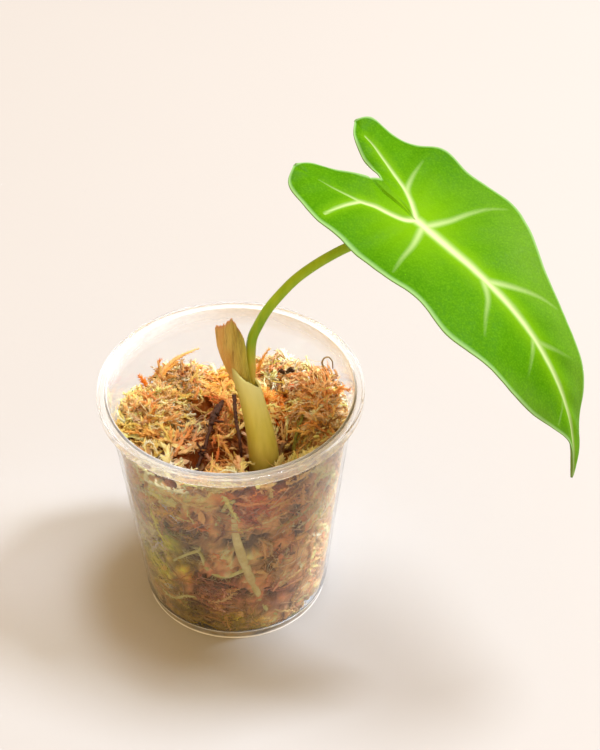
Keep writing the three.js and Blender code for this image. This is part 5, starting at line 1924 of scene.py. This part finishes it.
class PLANT_OT_moss(bpy.types.Operator):
    """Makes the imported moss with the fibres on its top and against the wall"""

    bl_idname = "plant.moss"
    bl_label = "Moss"

    def execute(self, context):
        look = context.scene.moss_look
        finish = moss_fibre("moss_tan", look)
        moss_body_heap().piece("packed_moss", finish, "moss_tan", ["moss_bed"])
        wall_moss_heap(look).piece("wall_moss", finish, "moss_tan", [])
        top_moss_heap(look).piece("top_moss", finish, "moss_tan", [])
        return {"FINISHED"}


class PLANT_OT_bunches(bpy.types.Operator):
    """Makes the five loose bunches of moss on top"""

    bl_idname = "plant.bunches"
    bl_label = "Moss bunches"

    def execute(self, context):
        look = context.scene.moss_look
        for node, (slot, form) in BUNCHES.items():
            finish = moss_fibre("fibre_" + node, look)
            bunch_heap(look.density, **form).piece("bunch_" + node, finish, slot, [node])
        return {"FINISHED"}


def lamp(name, strength, azimuth, elevation, distance, size, power, colour):
    """A round soft lamp that faces the plant."""
    light = bpy.data.lights.new(name, "AREA")
    light.shape = "DISK"
    light.size = size
    light.energy = power * strength
    light.color = colour
    lamp_object = bpy.data.objects.new(name, light)
    a, e = radians(azimuth), radians(elevation)
    away = Vector((cos(a) * cos(e), sin(a) * cos(e), sin(e)))
    lamp_object.location = Vector((0, 0, 0.08)) + away * distance
    lamp_object.rotation_euler = away.to_track_quat("Z", "Y").to_euler()
    bpy.context.scene.collection.objects.link(lamp_object)


def add_floor(look):
    """The pale round floor that catches the shadow."""
    made = Finish("pale_floor", Roughness=0.85, Specular_IOR_Level=0.15)
    tone = made.between(made.noise(9, 3), 0.3, 0.7, 0.0, 0.05)
    made.feed("Base Color", made.mix(tone, solid(look.floor), FLOOR_CLOUD))
    made.bump(made.noise(800, 2), 0.1, 0.0001)
    turns = [2 * pi * k / FLOOR_SIDES for k in range(FLOOR_SIDES)]
    points = [(0, 0, FLOOR_Z)]
    points += [(FLOOR_R * cos(turn), FLOOR_R * sin(turn), FLOOR_Z) for turn in turns]
    mesh = bpy.data.meshes.new("floor")
    mesh.from_pydata(points, [], [(0, k + 1, (k + 1) % FLOOR_SIDES + 1) for k in range(FLOOR_SIDES)])
    mesh.materials.append(made.material)
    floor = bpy.data.objects.new("floor", mesh)
    bpy.context.scene.collection.objects.link(floor)


def add_room(strength):
    """Warm light from all round, with a plain pale wall behind what the camera sees."""
    world = bpy.data.worlds.new("room")
    world.use_nodes = True
    tree = world.node_tree
    fill = tree.nodes["Background"]
    fill.inputs[0].default_value = ROOM_LIGHT
    fill.inputs[1].default_value = strength
    plain = tree.nodes.new("ShaderNodeBackground")
    plain.inputs[0].default_value = ROOM_WALL
    path = tree.nodes.new("ShaderNodeLightPath")
    seen = tree.nodes.new("ShaderNodeMixShader")
    tree.links.new(path.outputs["Is Camera Ray"], seen.inputs[0])
    tree.links.new(fill.outputs[0], seen.inputs[1])
    tree.links.new(plain.outputs[0], seen.inputs[2])
    tree.links.new(seen.outputs[0], tree.nodes["World Output"].inputs["Surface"])
    bpy.context.scene.world = world


def add_camera():
    """The camera, looking down at the plant from its front."""
    data = bpy.data.cameras.new("camera")
    data.lens, data.sensor_width = LENS, SENSOR
    data.clip_start, data.clip_end = 0.01, 20
    camera = bpy.data.objects.new("camera", data)
    back = Vector((0, -cos(CAMERA_TILT), sin(CAMERA_TILT)))
    camera.location = Vector(CAMERA_AIM) + back * CAMERA_FAR
    camera.rotation_euler = back.to_track_quat("Z", "Y").to_euler()
    bpy.context.scene.collection.objects.link(camera)
    bpy.context.scene.camera = camera


class PLANT_OT_studio(bpy.types.Operator):
    """Makes the pale floor, the soft lamps and the camera"""

    bl_idname = "plant.studio"
    bl_label = "Studio"

    def execute(self, context):
        look = context.scene.studio_look
        add_floor(look)
        lamp("key_lamp", look.key, *KEY_LAMP)
        lamp("top_lamp", look.top, *TOP_LAMP)
        add_room(look.fill)
        add_camera()
        context.scene.view_settings.view_transform = "Standard"
        return {"FINISHED"}


OPERATORS = [
    PLANT_OT_studio, PLANT_OT_cup, PLANT_OT_leaf, PLANT_OT_stalks, PLANT_OT_roots, PLANT_OT_twigs,
    PLANT_OT_moss, PLANT_OT_bunches,
]
LOOKS = {
    "cup_look": CupLook, "leaf_look": LeafLook, "stalk_look": StalkLook, "moss_look": MossLook,
    "studio_look": StudioLook,
}


class PLANT_PT_build(bpy.types.Panel):
    """Lists the steps that build the plant and the values that they use"""

    bl_idname = "PLANT_PT_build"
    bl_label = "Potted alocasia"
    bl_space_type = "VIEW_3D"
    bl_region_type = "UI"
    bl_category = "Plant"

    def draw(self, context):
        for name, group in LOOKS.items():
            box = self.layout.box()
            box.label(text=group.__name__)
            for key in group.__annotations__:
                box.prop(getattr(context.scene, name), key)
        for operator in OPERATORS:
            self.layout.operator(operator.bl_idname)


def register():
    for group in LOOKS.values():
        bpy.utils.register_class(group)
    for name, group in LOOKS.items():
        setattr(bpy.types.Scene, name, bpy.props.PointerProperty(type=group))
    for made in [*OPERATORS, PLANT_PT_build]:
        bpy.utils.register_class(made)


def unregister():
    for made in [PLANT_PT_build, *reversed(OPERATORS)]:
        bpy.utils.unregister_class(made)
    for name, group in LOOKS.items():
        delattr(bpy.types.Scene, name)
        bpy.utils.unregister_class(group)


def main():
    register()
    for operator in OPERATORS:
        group, name = operator.bl_idname.split(".")
        getattr(getattr(bpy.ops, group), name)()


if __name__ == "__main__":
    main()
